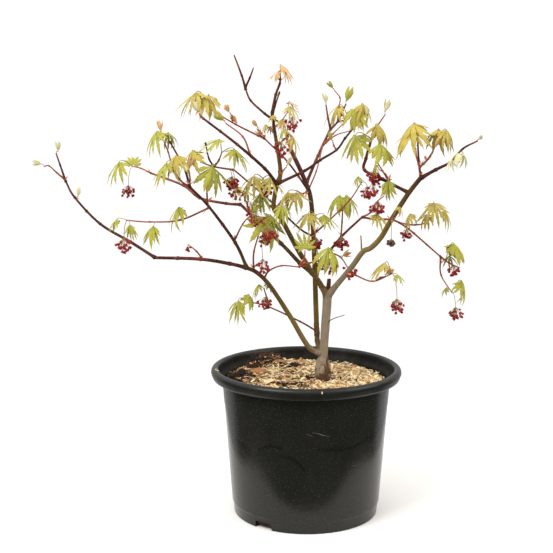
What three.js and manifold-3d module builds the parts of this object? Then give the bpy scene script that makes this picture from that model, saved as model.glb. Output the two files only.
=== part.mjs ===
// A young full moon maple in its nursery pot, in early spring: leaves half open and red blossom hanging.
// Millimetres, +Z up, the origin in the middle of the pot's flat underside, -Y towards the front.
import * as THREE from 'three';
import { mergeVertices } from 'three/addons/utils/BufferGeometryUtils.js';
import Module from 'manifold-3d';

const wasm = await Module();
wasm.setup();

// pot and potting mix
const POT_HEIGHT = 265;
const RIM_RADIUS = 170;
const RIM_WIDTH = 14;
const RIM_DEPTH = 21;
const NECK_RADIUS = 150;
const BASE_RADIUS = 130;
const FOOT_HEIGHT = 22;
const WALL = 3;
const FLOOR = 4;
const POT_SEGMENTS = 36;
const NOTCHES = 3;
const NOTCH_WIDTH = 34;
const NOTCH_HEIGHT = 12;
const NOTCH_TURN = 234;
const MIX_TOP = 242;
const MIX_EDGE_DROP = 4;
const GAP = 0.3;

// trunk, which stands a little to the right of the pot's middle
const TRUNK_FOOT = new THREE.Vector3(30, -5, MIX_TOP + GAP);
const TRUNK_LEGS = [[30, 90, 88], [45, 35, 86], [82, 20, 86]];
const TRUNK_RADIUS = 7.8;
const FLARE_RADIUS = 8.5;
const FLARE_LENGTH = 26;
const KNOB_RADIUS = 1.6;
const LIMB_SIDES = 6;
const LIMB_STEP = 22;

// twigs, leaves and blossom
const TWIG_RADIUS = 1.6;
const TWIG_TIP = 1.2;
const STALK_RADIUS = 0.7;
const LOBE_LENGTHS = [1, 0.94, 0.7, 0.34];
const LOBES = 7;
const SMALL_LOBES = 5;
const SMALL_LEAF = 30;
const SINUS = 0.42;
const SINUS_FOLD = 12;
const BLADE_THICKNESS = 0.06;
const CLUSTER_SIZE = 15;
const CLUSTER_REACH = 9;
const CLUSTER_DROOP = 40;
const CLUSTER_THICKNESS = 4;

// ways a leaf is carried: the stalk as a share of the blade, the stalk's climb,
// the blade's tilt and its lobes' droop
const HANG = [0.66, 46, 26, 50];
const LEVEL = [0.6, 8, 20, 44];
const DROP = [0.3, -35, 26, 54];
const DOME = [0.5, 62, 18, 56];
const BROAD = [0.42, 55, 50, 34];
const FAN = [0.75, 5, 46, 34];
const SPREAD = [0.65, 70, 8, 24];
const UPRIGHT = [0.2, 70, -72, 20];
const BUD = [0.35, 62, 180, 66];

// colours
const BARK_GREY = 0x8f7d6b;
const BARK_OLIVE = 0x6a5426;
const BARK_DARK = 0x4f2c22;
const LEAF_GREEN = 0x9aa33c;
const LEAF_GOLD = 0xa98f3a;
const LEAF_YOUNG = 0xc9bd84;
const POT_BLACK = 0x1d1d1c;
const MIX_TAN = 0xb99463;

// Limbs: name, where it grows from, how far along that, first and last radius, colour, and its legs.
// A leg is [length, heading, climb]: heading 0 is to the right, 90 to the back, 180 to the left.
const LIMBS = [
  ['right_bough', 'trunk', 0.99, 6.4, 4.2, BARK_GREY,
    [[70, -30, 47], [35, -34, 52], [16, -24, 28], [27, -32, 45], [37, -43, 56], [62, -44, 53],
      [34, -39, 49]]],
  ['left_bough', 'trunk', 1, 5.4, 3.8, BARK_OLIVE,
    [[35, -160, 50], [59, -145, 53], [78, -138, 55], [21, -154, 52], [24, 67, 80], [20, 45, 69]]],
  ['inner_stem', 'trunk', 0.29, 4.6, 2.4, BARK_OLIVE,
    [[20, 122, 37], [25, 118, 77], [39, 104, 80], [87, 104, 82], [102, 112, 82], [44, 148, 72],
      [68, 138, 58]]],
  ['left_stem', 'trunk', 0.28, 4.8, 3.6, BARK_OLIVE,
    [[32, -175, 31], [66, -166, 59], [65, -167, 57], [34, -165, 46], [20, -170, 27]]],
  ['right_outer', 'right_bough', 1, 3.2, 2.2, BARK_DARK, [[31, -36, 28], [29, -42, 24]]],
  ['right_inner', 'right_bough', 0.88, 2.8, 1.7, BARK_DARK,
    [[55, 144, 22], [42, 136, 19], [21, 59, 75], [29, 45, 67]]],
  ['leader', 'left_bough', 1, 3.2, 1.7, BARK_DARK,
    [[21, 49, 71], [46, 122, 75], [46, 125, 75], [11, 110, 80], [30, 41, 75], [20, 24, 68]]],
  ['leader_fork', 'leader', 0.64, 2.3, 1.5, BARK_DARK, [[21, 138, 27], [37, 144, 36], [23, 131, 54]]],
  ['front_left', 'left_bough', 0.99, 2.9, 1.7, BARK_DARK, [[42, -133, 43], [79, -133, 33], [87, -131, 29]]],
  ['cross_bough', 'left_bough', 1, 2.7, 1.6, BARK_DARK,
    [[51, 12, 24], [32, 7, 34], [34, -16, 32], [24, -21, 53], [21, -21, 50]]],
  ['back_left', 'left_bough', 0.2, 3.9, 2.9, BARK_OLIVE, [[41, 128, 22], [60, 130, 30], [121, 137, 32]]],
  ['back_left_end', 'back_left', 1, 2.8, 1.9, BARK_DARK,
    [[36, 142, 0], [61, 148, 7], [46, 147, 29], [76, 152, 16]]],
  ['back_right', 'inner_stem', 0.81, 2.6, 1.8, BARK_DARK, [[65, 59, 48], [64, 59, 45]]],
  ['thin_left', 'inner_stem', 0.77, 1.9, 1.4, BARK_DARK, [[70, -151, 51], [62, -151, 42]]],
  ['low_left', 'left_stem', 1, 3.3, 2.8, BARK_DARK, [[31, 170, 12], [55, 163, 6], [87, 161, -1]]],
  ['low_left_end', 'low_left', 1, 2.9, 1.8, BARK_DARK,
    [[56, 159, 28], [67, 161, 27], [68, 159, 42], [34, 149, 54]]],
  ['rising_left', 'left_stem', 1, 3.1, 2, BARK_DARK, [[53, -139, 61], [85, -141, 50], [51, -143, 43]]],
  ['middle_right', 'inner_stem', 0.42, 2.7, 2.1, BARK_DARK, [[19, 36, 30], [59, 34, 43], [58, 34, 35]]],
  ['middle_right_end', 'middle_right', 1, 2.1, 1.5, BARK_DARK,
    [[31, 34, -11], [59, 31, -10], [117, 29, -36]]],
  ['twig_left', 'inner_stem', 0.56, 1.8, 1.4, BARK_DARK, [[35, -150, 30], [81, -146, 40], [96, -141, 36]]],
];

// Dead stubs left on the trunk and boughs: limb, how far along, radius and legs.
const STUBS = [
  ['trunk', 0.97, 3.4, [[27, 30, 84]]],
  ['trunk', 0.63, 0.9, [[18, -38, 38], [16, -20, 22]]],
  ['right_bough', 0.4, 1.3, [[29, 120, 82]]],
];

// Shoots: mass, twig, where it grows from, how far along that, legs, leaves, flower clusters and seed.
// A leaf is [how far along, blade length, heading, carriage].
// A flower cluster is [how far along, hang, flowers, heading].
const SHOOTS = [
  ['low_left_tip', 'low_left_tip', 'low_left_end', 1, [[33, 152, 68], [23, 151, 68]],
    [[1, 15, 60, BUD]], [], 21],
  ['low_left_tip', 'low_left_bud', 'low_left_tip', 0.07, [[20, -161, 42], [19, -164, 43], [17, -167, 0]],
    [[1, 14, 175, BUD]], [], 26],
  ['low_left_spur', 'low_left_spur', 'low_left', 0.47, [[18, -155, 52], [16, -161, 42]],
    [], [[1, 3, 4, 200]], 14],
  ['hanging_left', 'hanging_left', 'rising_left', 0.72, [[58, -149, -18], [55, -149, 0], [42, -149, 7]],
    [[0.34, 36, 205, DOME], [0.66, 38, 250, DROP], [1, 24, 185, LEVEL], [0.9, 26, 300, DROP]],
    [[0.98, 34, 5, 230]], 17],
  ['rising_left_tip', 'rising_left_tip', 'rising_left', 1, [[36, -125, 66], [47, -138, 57]],
    [[0.45, 44, 205, FAN], [0.45, 38, 250, HANG], [0.7, 26, 215, DROP]], [], 47],
  ['rising_left_tip', 'left_red', 'rising_left', 1,
    [[21, 160, 33], [28, 164, 60], [23, 162, 73], [32, 170, 68]],
    [[0.85, 42, 190, HANG], [0.85, 30, 60, HANG], [1, 16, 100, BUD]], [], 9],
  ['back_left_tip', 'back_left_tip', 'back_left_end', 1, [[25, 155, 21], [20, 157, 10]],
    [[1, 48, 185, LEVEL], [1, 22, 280, BROAD], [0.3, 24, 230, DROP]], [[0.95, 38, 6, 250]], 23],
  ['left_umbrella', 'left_umbrella', 'rising_left', 0.75, [[28, -93, 73], [21, -56, 71]],
    [[1, 48, 300, BROAD]], [], 7],
  ['front_left_tip', 'front_left_tip', 'front_left', 1, [[11, -139, 34], [16, -140, 52]],
    [[1, 15, 150, BUD]], [], 38],
  ['front_left_side', 'front_left_side', 'front_left', 0.4, [[34, 149, 64], [36, 174, 38]],
    [[1, 16, 190, BUD]], [], 26],
  ['thin_left_tip', 'thin_left_tip', 'thin_left', 1, [[59, -165, 26], [44, -158, 42]],
    [[1, 48, 172, HANG], [1, 42, 110, HANG], [0.5, 12, 80, BUD], [0.06, 12, 110, BUD]], [], 25],
  ['twig_left_tip', 'twig_left_tip', 'twig_left', 1, [[38, -151, 10], [26, -155, 19]],
    [[1, 42, 190, DOME]], [[0.2, 24, 7, 270]], 26],
  ['twig_left_tip', 'twig_left_up', 'twig_left_tip', 0.59, [[14, -17, 53], [15, -21, 67]],
    [[1, 42, 190, SPREAD], [1, 40, 345, LEVEL]], [], 9],
  ['back_left_side', 'back_left_side', 'back_left', 0.86, [[20, -164, 69], [17, -143, 66]],
    [[1, 28, 190, HANG], [1, 26, 60, HANG]], [[0.7, 10, 4, 200]], 17],
  ['rising_left_twig', 'rising_left_twig', 'rising_left', 0.3, [[36, -34, 59], [22, -24, 46]],
    [[1, 15, 40, BUD]], [[1, 6, 5, 0]], 21],
  ['left_stem_sprout', 'left_stem_sprout', 'left_stem', 0.94, [[35, -84, 79], [49, -37, 70]],
    [[1, 54, 290, BROAD], [1, 34, 15, HANG]], [[0.92, 10, 7, 340], [0.72, 50, 4, 0]], 38],
  ['twig_left_leaves', 'twig_left_leaves', 'twig_left', 0.66, [[15, -49, 71], [13, -89, 72]],
    [[1, 40, 250, LEVEL], [1, 38, 310, LEVEL], [0.15, 34, 240, DROP]], [[0.5, 8, 4, 300]], 60],
  ['left_bough_knob', 'left_bough_knob', 'left_bough', 0.82, [[14, -43, 34], [10, -61, 46]],
    [[1, 36, 300, DROP]], [], 4],
  ['inner_left', 'inner_left', 'inner_stem', 0.78, [[18, -126, -19], [16, -137, 21]],
    [[1, 36, 200, LEVEL], [1, 34, 270, LEVEL]], [], 2],
  ['arc_sprout', 'arc_sprout', 'left_stem', 0.83, [[21, -52, 48], [27, -30, 24], [33, -25, 0]], [], [], 1],
  ['arc_sprout', 'arc_up', 'arc_sprout', 1, [[16, -24, 53], [16, -51, 81]], [[1, 32, 90, UPRIGHT]], [], 1],
  ['arc_sprout', 'arc_out', 'arc_sprout', 1, [[22, -23, 22], [20, -18, 13]],
    [[1, 42, 300, DOME]], [[1, 10, 4, 300]], 6],
  ['low_sprout', 'low_sprout', 'inner_stem', 0.12, [[36, -174, 31], [67, -162, 27], [48, -155, 17]],
    [[1, 40, 255, LEVEL], [1, 26, 60, HANG]], [], 25],
  ['low_sprout', 'low_sprout_up', 'low_sprout', 0.68, [[15, -140, 79], [19, -159, 73]],
    [[1, 24, 200, HANG], [1, 22, 20, HANG]], [[0.35, 8, 5, 300]], 10],
  ['inner_front', 'inner_front', 'inner_stem', 0.55, [[25, -96, 47], [33, -73, 60]],
    [[1, 36, 240, LEVEL], [1, 34, 320, LEVEL]], [[0.5, 30, 7, 300]], 17],
  ['thin_right', 'thin_right', 'inner_stem', 0.57, [[45, -35, 40], [58, -40, 41], [43, -46, 50]],
    [[1, 20, 200, HANG]], [[1, 8, 7, 0]], 30],
  ['middle_up', 'middle_up', 'middle_right', 0.57, [[29, -78, 78], [35, -83, 77]],
    [[1, 40, 220, DOME], [1, 38, 320, DOME]], [[0.3, 26, 7, 285]], 13],
  ['fork_front', 'fork_front', 'middle_right', 0.3, [[29, -48, -12], [28, -53, -38]],
    [[0.6, 14, 20, BUD]], [[1, 5, 6, 300]], 58],
  ['right_low', 'right_low', 'right_bough', 0.21, [[21, -49, -8], [34, -32, -13], [28, -24, 24]],
    [[1, 34, 185, SPREAD], [1, 22, 340, LEVEL]], [[1, 44, 7, 0]], 34],
  ['middle_top', 'middle_top', 'middle_right', 1, [[20, -38, 28], [23, -39, 56], [20, -30, 40]],
    [[1, 18, 0, HANG], [0.25, 34, 310, LEVEL]], [[0.65, 8, 6, 290]], 58],
  ['right_inner_tip', 'right_inner_tip', 'right_inner', 1, [[18, -1, 74], [36, -6, 57]],
    [[0.1, 44, 250, FAN], [0.2, 42, 345, DOME], [1, 17, 60, BUD]], [], 60],
  ['right_inner_mid', 'right_inner_mid', 'right_inner', 0.26, [[24, 149, 54], [19, 144, 53]],
    [[1, 42, 60, DOME], [0.15, 32, 275, LEVEL]], [[1, 16, 7, 230]], 47],
  ['right_top', 'right_top', 'right_bough', 1, [[30, 117, 77], [34, 99, 76]],
    [[1, 48, 190, DOME], [1, 42, 75, HANG]], [], 58],
  ['right_top', 'right_top_side', 'right_top', 0.27, [[25, -18, 47], [23, -25, 66]],
    [[1, 46, 60, DOME], [1, 36, 330, HANG]], [], 59],
  ['right_outer_tip', 'right_outer_tip', 'right_outer', 1, [[34, -39, 45], [29, -38, 27]],
    [[0.45, 26, 230, DROP], [0.45, 24, 20, DROP], [0.2, 22, 190, DROP], [1, 14, 0, BUD]], [], 50],
  ['right_dried', 'right_dried', 'right_bough', 0.66, [[18, -85, 25], [12, -60, 48]],
    [[1, 18, 350, HANG]], [[0.6, 32, 4, 290]], 17],
  ['middle_end_up', 'middle_end_up', 'middle_right_end', 0.44, [[30, -28, -3], [24, -26, 17], [26, -31, 54]],
    [[1, 40, 95, HANG], [1, 36, 340, LEVEL], [0.42, 26, 160, HANG], [0.7, 20, 250, HANG]],
    [[0.14, 14, 4, 250]], 5],
  ['middle_end_tip', 'middle_end_tip', 'middle_right_end', 1, [[25, 19, -36], [26, 19, -24]],
    [[0.5, 46, 285, DOME], [0.5, 28, 100, HANG]], [[0.75, 8, 4, 300]], 13],
  ['middle_end_tip', 'middle_end_hang', 'middle_end_tip', 0.04, [[36, -90, -70], [40, -30, -55]],
    [[1, 36, 350, HANG], [1, 24, 190, HANG]], [[1, 30, 7, 0]], 14],
  ['back_right_tip', 'back_right_tip', 'back_right', 1, [[26, 41, 38], [36, 34, 60]],
    [[1, 18, 60, BUD]], [], 30],
  ['back_right_tip', 'back_right_out', 'back_right_tip', 0.38, [[19, 29, 11], [17, 21, 18]],
    [[1, 34, 0, HANG], [1, 34, 165, HANG]], [], 19],
  ['back_right_tip', 'back_right_up', 'back_right_tip', 0.03, [[21, 154, 75], [25, 132, 77]],
    [[1, 15, 90, BUD]], [], 47],
  ['cross_tip', 'cross_tip', 'cross_bough', 1, [[14, -39, 62], [10, -33, 71]],
    [[1, 34, 330, HANG], [1, 34, 250, BROAD]], [], 15],
  ['leader_mid', 'leader_mid', 'leader', 0.38, [[19, -40, 33], [13, -26, 48]],
    [[1, 30, 345, DROP], [1, 22, 200, HANG]], [[0.7, 8, 4, 0]], 17],
  ['inner_tip', 'inner_tip', 'inner_stem', 1, [[22, 141, 65], [19, 49, 73]],
    [[1, 22, 185, HANG], [0.5, 20, 20, HANG]], [[1, 4, 6, 0]], 17],
  ['leader_tip', 'leader_tip', 'leader', 1, [[8, 0, 83], [5, 94, 90]],
    [[1, 32, 345, SPREAD], [1, 20, 170, SPREAD]], [], 58],
  ['leader_fork_tip', 'leader_fork_tip', 'leader_fork', 1, [[26, 139, 69], [37, 136, 62]], [], [], 1],
  ['leader_fork_tip', 'leader_fork_side', 'leader_fork_tip', 0.06, [[19, -20, 63], [15, -20, 68]], [], [], 1],
];

const rad = THREE.MathUtils.degToRad;
const UP = new THREE.Vector3(0, 0, 1);

// A unit vector with this heading and climb, in degrees.
function direction(heading, climb) {
  const turn = rad(heading);
  const flat = Math.cos(rad(climb));
  return new THREE.Vector3(flat * Math.cos(turn), flat * Math.sin(turn), Math.sin(rad(climb)));
}

// A repeatable run of numbers from 0 to 1.
function seeded(seed) {
  let state = (seed * 7919 + 104729) % 2147483647;
  return () => {
    state = (state * 48271) % 2147483647;
    return state / 2147483647;
  };
}

// The smooth line that a limb follows through the ends of its legs.
function grow(start, legs) {
  const points = [start.clone()];
  for (const [length, heading, climb] of legs) {
    points.push(points.at(-1).clone().addScaledVector(direction(heading, climb), length));
  }
  return new THREE.CatmullRomCurve3(points, false, 'catmullrom', 0.5);
}

function solid(geometry) {
  const bare = geometry.index ? geometry.clone() : geometry;
  bare.deleteAttribute('normal');
  bare.deleteAttribute('uv');
  const merged = mergeVertices(bare, 1e-4);
  return new wasm.Manifold(new wasm.Mesh({
    numProp: 3,
    vertProperties: new Float32Array(merged.attributes.position.array),
    triVerts: new Uint32Array(merged.index.array),
  }));
}

// The largest whole piece of a solid, with scraps and sealed hollows dropped.
function whole(body) {
  return body.decompose().reduce((best, piece) => (piece.volume() > best.volume() ? piece : best));
}

function mesh(name, body, color, roughness) {
  const { vertProperties, triVerts } = body.getMesh();
  const geometry = new THREE.BufferGeometry();
  geometry.setAttribute('position', new THREE.BufferAttribute(new Float32Array(vertProperties), 3));
  geometry.setIndex(new THREE.BufferAttribute(new Uint32Array(triVerts), 1));
  geometry.computeVertexNormals();
  const made = new THREE.Mesh(geometry, new THREE.MeshStandardMaterial({ color, roughness, metalness: 0 }));
  made.name = name;
  return made;
}

// A cylinder bent along a line, its radius given by radiusAt(share of the length, angle round it).
// With a clearance it is that much fatter and longer, to cut its neighbours with.
function limbGeometry(curve, radiusAt, sides, steps, clearance = 0) {
  const geometry = new THREE.CylinderGeometry(1, 1, 1, sides, steps);
  const frames = curve.computeFrenetFrames(steps, false);
  const position = geometry.attributes.position;
  const point = new THREE.Vector3();
  for (let i = 0; i < position.count; i += 1) {
    const step = Math.round((position.getY(i) + 0.5) * steps);
    const share = step / steps;
    const across = position.getX(i);
    const along = position.getZ(i);
    const radius = radiusAt(share, Math.atan2(along, across)) + clearance;
    point.copy(curve.getPointAt(share));
    point.addScaledVector(frames.binormals[step], across * radius);
    point.addScaledVector(frames.normals[step], along * radius);
    if (step === 0) point.addScaledVector(frames.tangents[0], -clearance);
    if (step === steps) point.addScaledVector(frames.tangents[steps], clearance);
    position.setXYZ(i, point.x, point.y, point.z);
  }
  return geometry;
}

function taper(first, last) {
  return (share) => first + (last - first) * share;
}

// The trunk flares into three blunt buttresses at its foot and thickens into a knob where it forks.
function trunkRadius(share, angle) {
  const height = share * trunkCurve.getLength();
  const flare = FLARE_RADIUS * Math.exp(-height / FLARE_LENGTH) * (1 + 0.18 * Math.cos(3 * angle));
  return TRUNK_RADIUS + flare + KNOB_RADIUS * share ** 8;
}

// A thin three-sided stalk along a line.
function stalk(curve, first, last, steps) {
  return solid(limbGeometry(curve, taper(first, last), 3, steps));
}

// A cone hung by its tip, its rim drawn out into lobes: the blade of a leaf or a flower cluster.
// out is the way its first lobe points, up is the way its tip points.
function star(tip, out, up, lengths, droop, thickness) {
  const count = 2 * lengths.length;
  const geometry = new THREE.ConeGeometry(1, 1, count, 1);
  const position = geometry.attributes.position;
  const side = new THREE.Vector3().crossVectors(up, out);
  const point = new THREE.Vector3();
  for (let i = 0; i < position.count; i += 1) {
    const x = position.getX(i);
    const z = position.getZ(i);
    point.copy(tip);
    if (Math.hypot(x, z) > 0.5) {
      const slot = Math.round((Math.atan2(x, z) / (2 * Math.PI)) * count);
      const lobe = lengths[Math.floor(((slot + count) % count) / 2)];
      const isTip = slot % 2 === 0;
      const length = isTip ? lobe : SINUS * lobe;
      const fall = rad(isTip ? droop : droop + SINUS_FOLD);
      const turn = (slot / count) * 2 * Math.PI;
      point.addScaledVector(out, length * Math.cos(fall) * Math.cos(turn));
      point.addScaledVector(side, length * Math.cos(fall) * Math.sin(turn));
      point.addScaledVector(up, -length * Math.sin(fall));
    } else if (position.getY(i) < 0) {
      point.addScaledVector(up, -thickness);
    }
    position.setXYZ(i, point.x, point.y, point.z);
  }
  return solid(geometry);
}

// One leaf on its stalk. The draws turn it a little, and vary its stalk, its tilt and its droop.
function leaf(from, [, size, heading, [share, climb, tilt, droop]], draw) {
  const turned = heading + (draw() - 0.5) * 36;
  const rise = climb + (draw() - 0.5) * 26;
  const length = size * share * (0.8 + 0.4 * draw());
  const lean = tilt + (draw() - 0.5) * 22;
  const fall = droop + (draw() - 0.5) * 16;
  const tip = from.clone().addScaledVector(direction(turned, rise), length);
  const out = direction(turned, -lean);
  const up = direction(turned, 90 - lean);
  const lobes = size < SMALL_LEAF ? SMALL_LOBES : LOBES;
  const lengths = Array.from({ length: lobes }, (_, i) => size * LOBE_LENGTHS[Math.min(i, lobes - i)]);
  const thickness = size * BLADE_THICKNESS;
  const sunk = tip.clone().addScaledVector(up, -0.5 * thickness - 0.13 * size * Math.sin(rad(fall)));
  sunk.addScaledVector(out, 0.13 * size * Math.cos(rad(fall)));
  sunk.addScaledVector(new THREE.Vector3().crossVectors(up, out), 0.02 * size);
  const stem = stalk(new THREE.LineCurve3(from, sunk), STALK_RADIUS, STALK_RADIUS, 1);
  return stem.add(star(tip, out, up, lengths, fall, thickness));
}

// A hanging cluster: one drooping stalk that leaves the twig sideways, and the flowers splayed out below it.
function cluster(from, [, hang, flowers, heading], draw) {
  const turned = heading + (draw() - 0.5) * 40;
  const foot = from.clone().addScaledVector(direction(turned, 0), CLUSTER_REACH * (0.8 + 0.4 * draw()));
  foot.addScaledVector(UP, -hang);
  const lengths = Array.from({ length: flowers }, () => CLUSTER_SIZE * (0.75 + 0.4 * draw()));
  const out = direction(draw() * 360, 0);
  const sunk = foot.clone().addScaledVector(UP, -0.4 * CLUSTER_THICKNESS);
  const stem = stalk(new THREE.LineCurve3(from, sunk), STALK_RADIUS, STALK_RADIUS, 1);
  return stem.add(star(foot, out, UP, lengths, CLUSTER_DROOP, CLUSTER_THICKNESS));
}

function apart(a, b) {
  const p = a.boundingBox();
  const q = b.boundingBox();
  return [0, 1, 2].some((k) => p.max[k] < q.min[k] - 1 || q.max[k] < p.min[k] - 1);
}

// Whether a solid keeps clear of all the others.
function fits(body, others) {
  return others.every((other) => apart(body, other) || body.intersect(other).isEmpty());
}

const plant = new THREE.Group();

// pot: a spun wall with a rolled rim and a straight foot band, and drain notches in its bottom edge
const rimFoot = POT_HEIGHT - RIM_DEPTH;
const rimInside = RIM_RADIUS - RIM_WIDTH;
const wallFoot = BASE_RADIUS + WALL;
const wallSlope = (NECK_RADIUS - wallFoot) / (rimFoot - FOOT_HEIGHT);
const wallInside = (z) => wallFoot - WALL + wallSlope * (z - FOOT_HEIGHT);
const potProfile = [
  [0, 0],
  [BASE_RADIUS - 2, 0],
  [BASE_RADIUS, 2],
  [BASE_RADIUS + 1, FOOT_HEIGHT - 3],
  [wallFoot, FOOT_HEIGHT],
  [NECK_RADIUS, rimFoot],
  [RIM_RADIUS - 7, rimFoot + 3],
  [RIM_RADIUS - 1.2, rimFoot + 8],
  [RIM_RADIUS, POT_HEIGHT - 8],
  [RIM_RADIUS - 2, POT_HEIGHT - 3],
  [RIM_RADIUS - RIM_WIDTH / 2, POT_HEIGHT],
  [rimInside + 2, POT_HEIGHT - 1.5],
  [rimInside, POT_HEIGHT - 5],
  [wallInside(rimFoot), rimFoot],
  [wallInside(FOOT_HEIGHT), FOOT_HEIGHT],
  [BASE_RADIUS - WALL, FLOOR],
  [0, FLOOR],
].map(([r, z]) => new THREE.Vector2(r, z));
const potGeometry = new THREE.LatheGeometry(potProfile, POT_SEGMENTS);
potGeometry.rotateX(Math.PI / 2);
let pot = solid(potGeometry);
const notchShape = new THREE.Shape();
notchShape.moveTo(-NOTCH_WIDTH / 2, -NOTCH_HEIGHT);
notchShape.lineTo(NOTCH_WIDTH / 2, -NOTCH_HEIGHT);
notchShape.lineTo(NOTCH_WIDTH / 2, NOTCH_HEIGHT - 4);
notchShape.lineTo(NOTCH_WIDTH / 2 - 5, NOTCH_HEIGHT);
notchShape.lineTo(5 - NOTCH_WIDTH / 2, NOTCH_HEIGHT);
notchShape.lineTo(-NOTCH_WIDTH / 2, NOTCH_HEIGHT - 4);
for (let i = 0; i < NOTCHES; i += 1) {
  const notch = new THREE.ExtrudeGeometry(notchShape, { depth: 24, bevelEnabled: false });
  notch.rotateX(Math.PI / 2);
  notch.translate(0, BASE_RADIUS + 6, 0);
  notch.rotateZ(rad(NOTCH_TURN - 90 + (i * 360) / NOTCHES));
  pot = pot.subtract(solid(notch));
}
plant.add(mesh('pot', whole(pot), POT_BLACK, 0.45));

// potting mix: fills the pot to just under its rim, level where the trunk stands
const mixEdge = MIX_TOP - MIX_EDGE_DROP;
const mixProfile = [
  [0, FLOOR + GAP],
  [BASE_RADIUS - WALL - 2 * GAP, FLOOR + GAP],
  [wallInside(FOOT_HEIGHT) - GAP, FOOT_HEIGHT],
  [wallInside(mixEdge) - GAP, mixEdge],
  [NECK_RADIUS - 40, MIX_TOP],
  [0, MIX_TOP],
].map(([r, z]) => new THREE.Vector2(r, z));
const mixGeometry = new THREE.LatheGeometry(mixProfile, POT_SEGMENTS);
mixGeometry.rotateX(Math.PI / 2);
plant.add(mesh('potting_mix', solid(mixGeometry), MIX_TAN, 0.95));

// trunk and limbs, each cut clear of the ones it grows from
const trunkCurve = grow(TRUNK_FOOT, TRUNK_LEGS);
const curves = new Map([['trunk', trunkCurve]]);
const limbs = new Map();
const clearances = new Map();
const limbColors = new Map([['trunk', BARK_GREY]]);
const below = new THREE.BoxGeometry(120, 120, 40);
below.translate(TRUNK_FOOT.x, TRUNK_FOOT.y, TRUNK_FOOT.z - 20);
limbs.set('trunk', solid(limbGeometry(trunkCurve, trunkRadius, 9, 11)).subtract(solid(below)));
clearances.set('trunk', solid(limbGeometry(trunkCurve, trunkRadius, 9, 11, GAP)));
for (const [name, parent, at, first, last, color, legs] of LIMBS) {
  const curve = grow(curves.get(parent).getPointAt(at), legs);
  const steps = Math.max(3, Math.round(curve.getLength() / LIMB_STEP));
  let body = solid(limbGeometry(curve, taper(first, last), LIMB_SIDES, steps));
  for (const other of clearances.values()) {
    if (!apart(body, other)) body = body.subtract(other);
  }
  curves.set(name, curve);
  limbs.set(name, whole(body));
  limbColors.set(name, color);
  clearances.set(name, solid(limbGeometry(curve, taper(first, last), LIMB_SIDES, steps, GAP)));
}
for (const [limb, at, radius, legs] of STUBS) {
  const curve = grow(curves.get(limb).getPointAt(at), legs);
  const stub = solid(limbGeometry(curve, taper(radius, radius * 0.8), 5, 2));
  const fat = solid(limbGeometry(curve, taper(radius, radius * 0.8), 5, 2, GAP));
  limbs.set(limb, limbs.get(limb).add(stub));
  clearances.set(`${limb} stub ${at}`, fat);
  for (const [name, body] of limbs) {
    if (name !== limb && !apart(body, fat)) limbs.set(name, whole(body.subtract(fat)));
  }
}
for (const [name, body] of limbs) {
  plant.add(mesh(name, body, limbColors.get(name), 0.85));
}

// shoots: the twigs of each mass, with the leaves and flower clusters that keep clear of everything else
const masses = new Map();
const looks = new Map();
const parts = [...limbs.values()];
SHOOTS.forEach(([mass, twig, parent, at, legs, leaves, clusters, seed]) => {
  const draw = seeded(seed);
  const curve = grow(curves.get(parent).getPointAt(at), legs);
  curves.set(twig, curve);
  const others = [...masses].filter(([name]) => name !== mass).map(([, body]) => body);
  let body = stalk(curve, TWIG_RADIUS, TWIG_TIP, legs.length * 2);
  const last = 1 - TWIG_TIP / curve.getLength();
  for (const row of leaves) {
    const made = leaf(curve.getPointAt(Math.min(row[0], last)), row, draw);
    if (fits(made, [...parts, ...others])) body = body.add(made);
  }
  for (const row of clusters) {
    const made = cluster(curve.getPointAt(Math.min(row[0], last)), row, draw);
    if (fits(made, [...parts, ...others])) body = body.add(made);
  }
  masses.set(mass, masses.has(mass) ? masses.get(mass).add(body) : body);
  if (!looks.has(mass)) {
    const widest = Math.max(0, ...leaves.map((row) => row[1]));
    looks.set(mass, widest > 34 ? LEAF_GOLD : widest > 18 ? LEAF_GREEN : LEAF_YOUNG);
  }
});
for (const [name, body] of masses) {
  let cut = body;
  for (const limb of clearances.values()) {
    if (!apart(cut, limb)) cut = cut.subtract(limb);
  }
  plant.add(mesh(`shoot_${name}`, whole(cut), looks.get(name), 0.7));
}

export default plant;
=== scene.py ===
"""A potted full moon maple in early spring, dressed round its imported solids."""

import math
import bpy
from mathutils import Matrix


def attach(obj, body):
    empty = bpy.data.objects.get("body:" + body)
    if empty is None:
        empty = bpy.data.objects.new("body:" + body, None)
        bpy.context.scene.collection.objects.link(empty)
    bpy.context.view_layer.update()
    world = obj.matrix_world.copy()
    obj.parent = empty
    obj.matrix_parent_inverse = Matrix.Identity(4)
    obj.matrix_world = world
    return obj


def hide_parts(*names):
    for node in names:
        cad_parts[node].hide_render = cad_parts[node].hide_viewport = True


bl_info = {
    "name": "Potted full moon maple",
    "version": (1, 0, 0),
    "blender": (4, 5, 0),
    "location": "3D View > Sidebar > Maple",
    "description": "Pot, mulch, bark, twigs, leaves and blossom of a potted maple",
    "category": "Object",
}

from functools import cache

import bpy
import numpy as np
from bpy.props import FloatProperty, FloatVectorProperty, IntProperty, PointerProperty
from mathutils import Vector, kdtree, noise

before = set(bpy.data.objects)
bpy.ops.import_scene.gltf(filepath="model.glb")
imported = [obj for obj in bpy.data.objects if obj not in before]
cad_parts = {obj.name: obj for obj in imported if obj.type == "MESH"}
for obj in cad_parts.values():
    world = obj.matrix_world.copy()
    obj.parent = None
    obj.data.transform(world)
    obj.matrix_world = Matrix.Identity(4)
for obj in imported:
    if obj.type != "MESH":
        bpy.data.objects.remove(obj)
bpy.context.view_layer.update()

MM = 0.001
BODY = "root"

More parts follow.
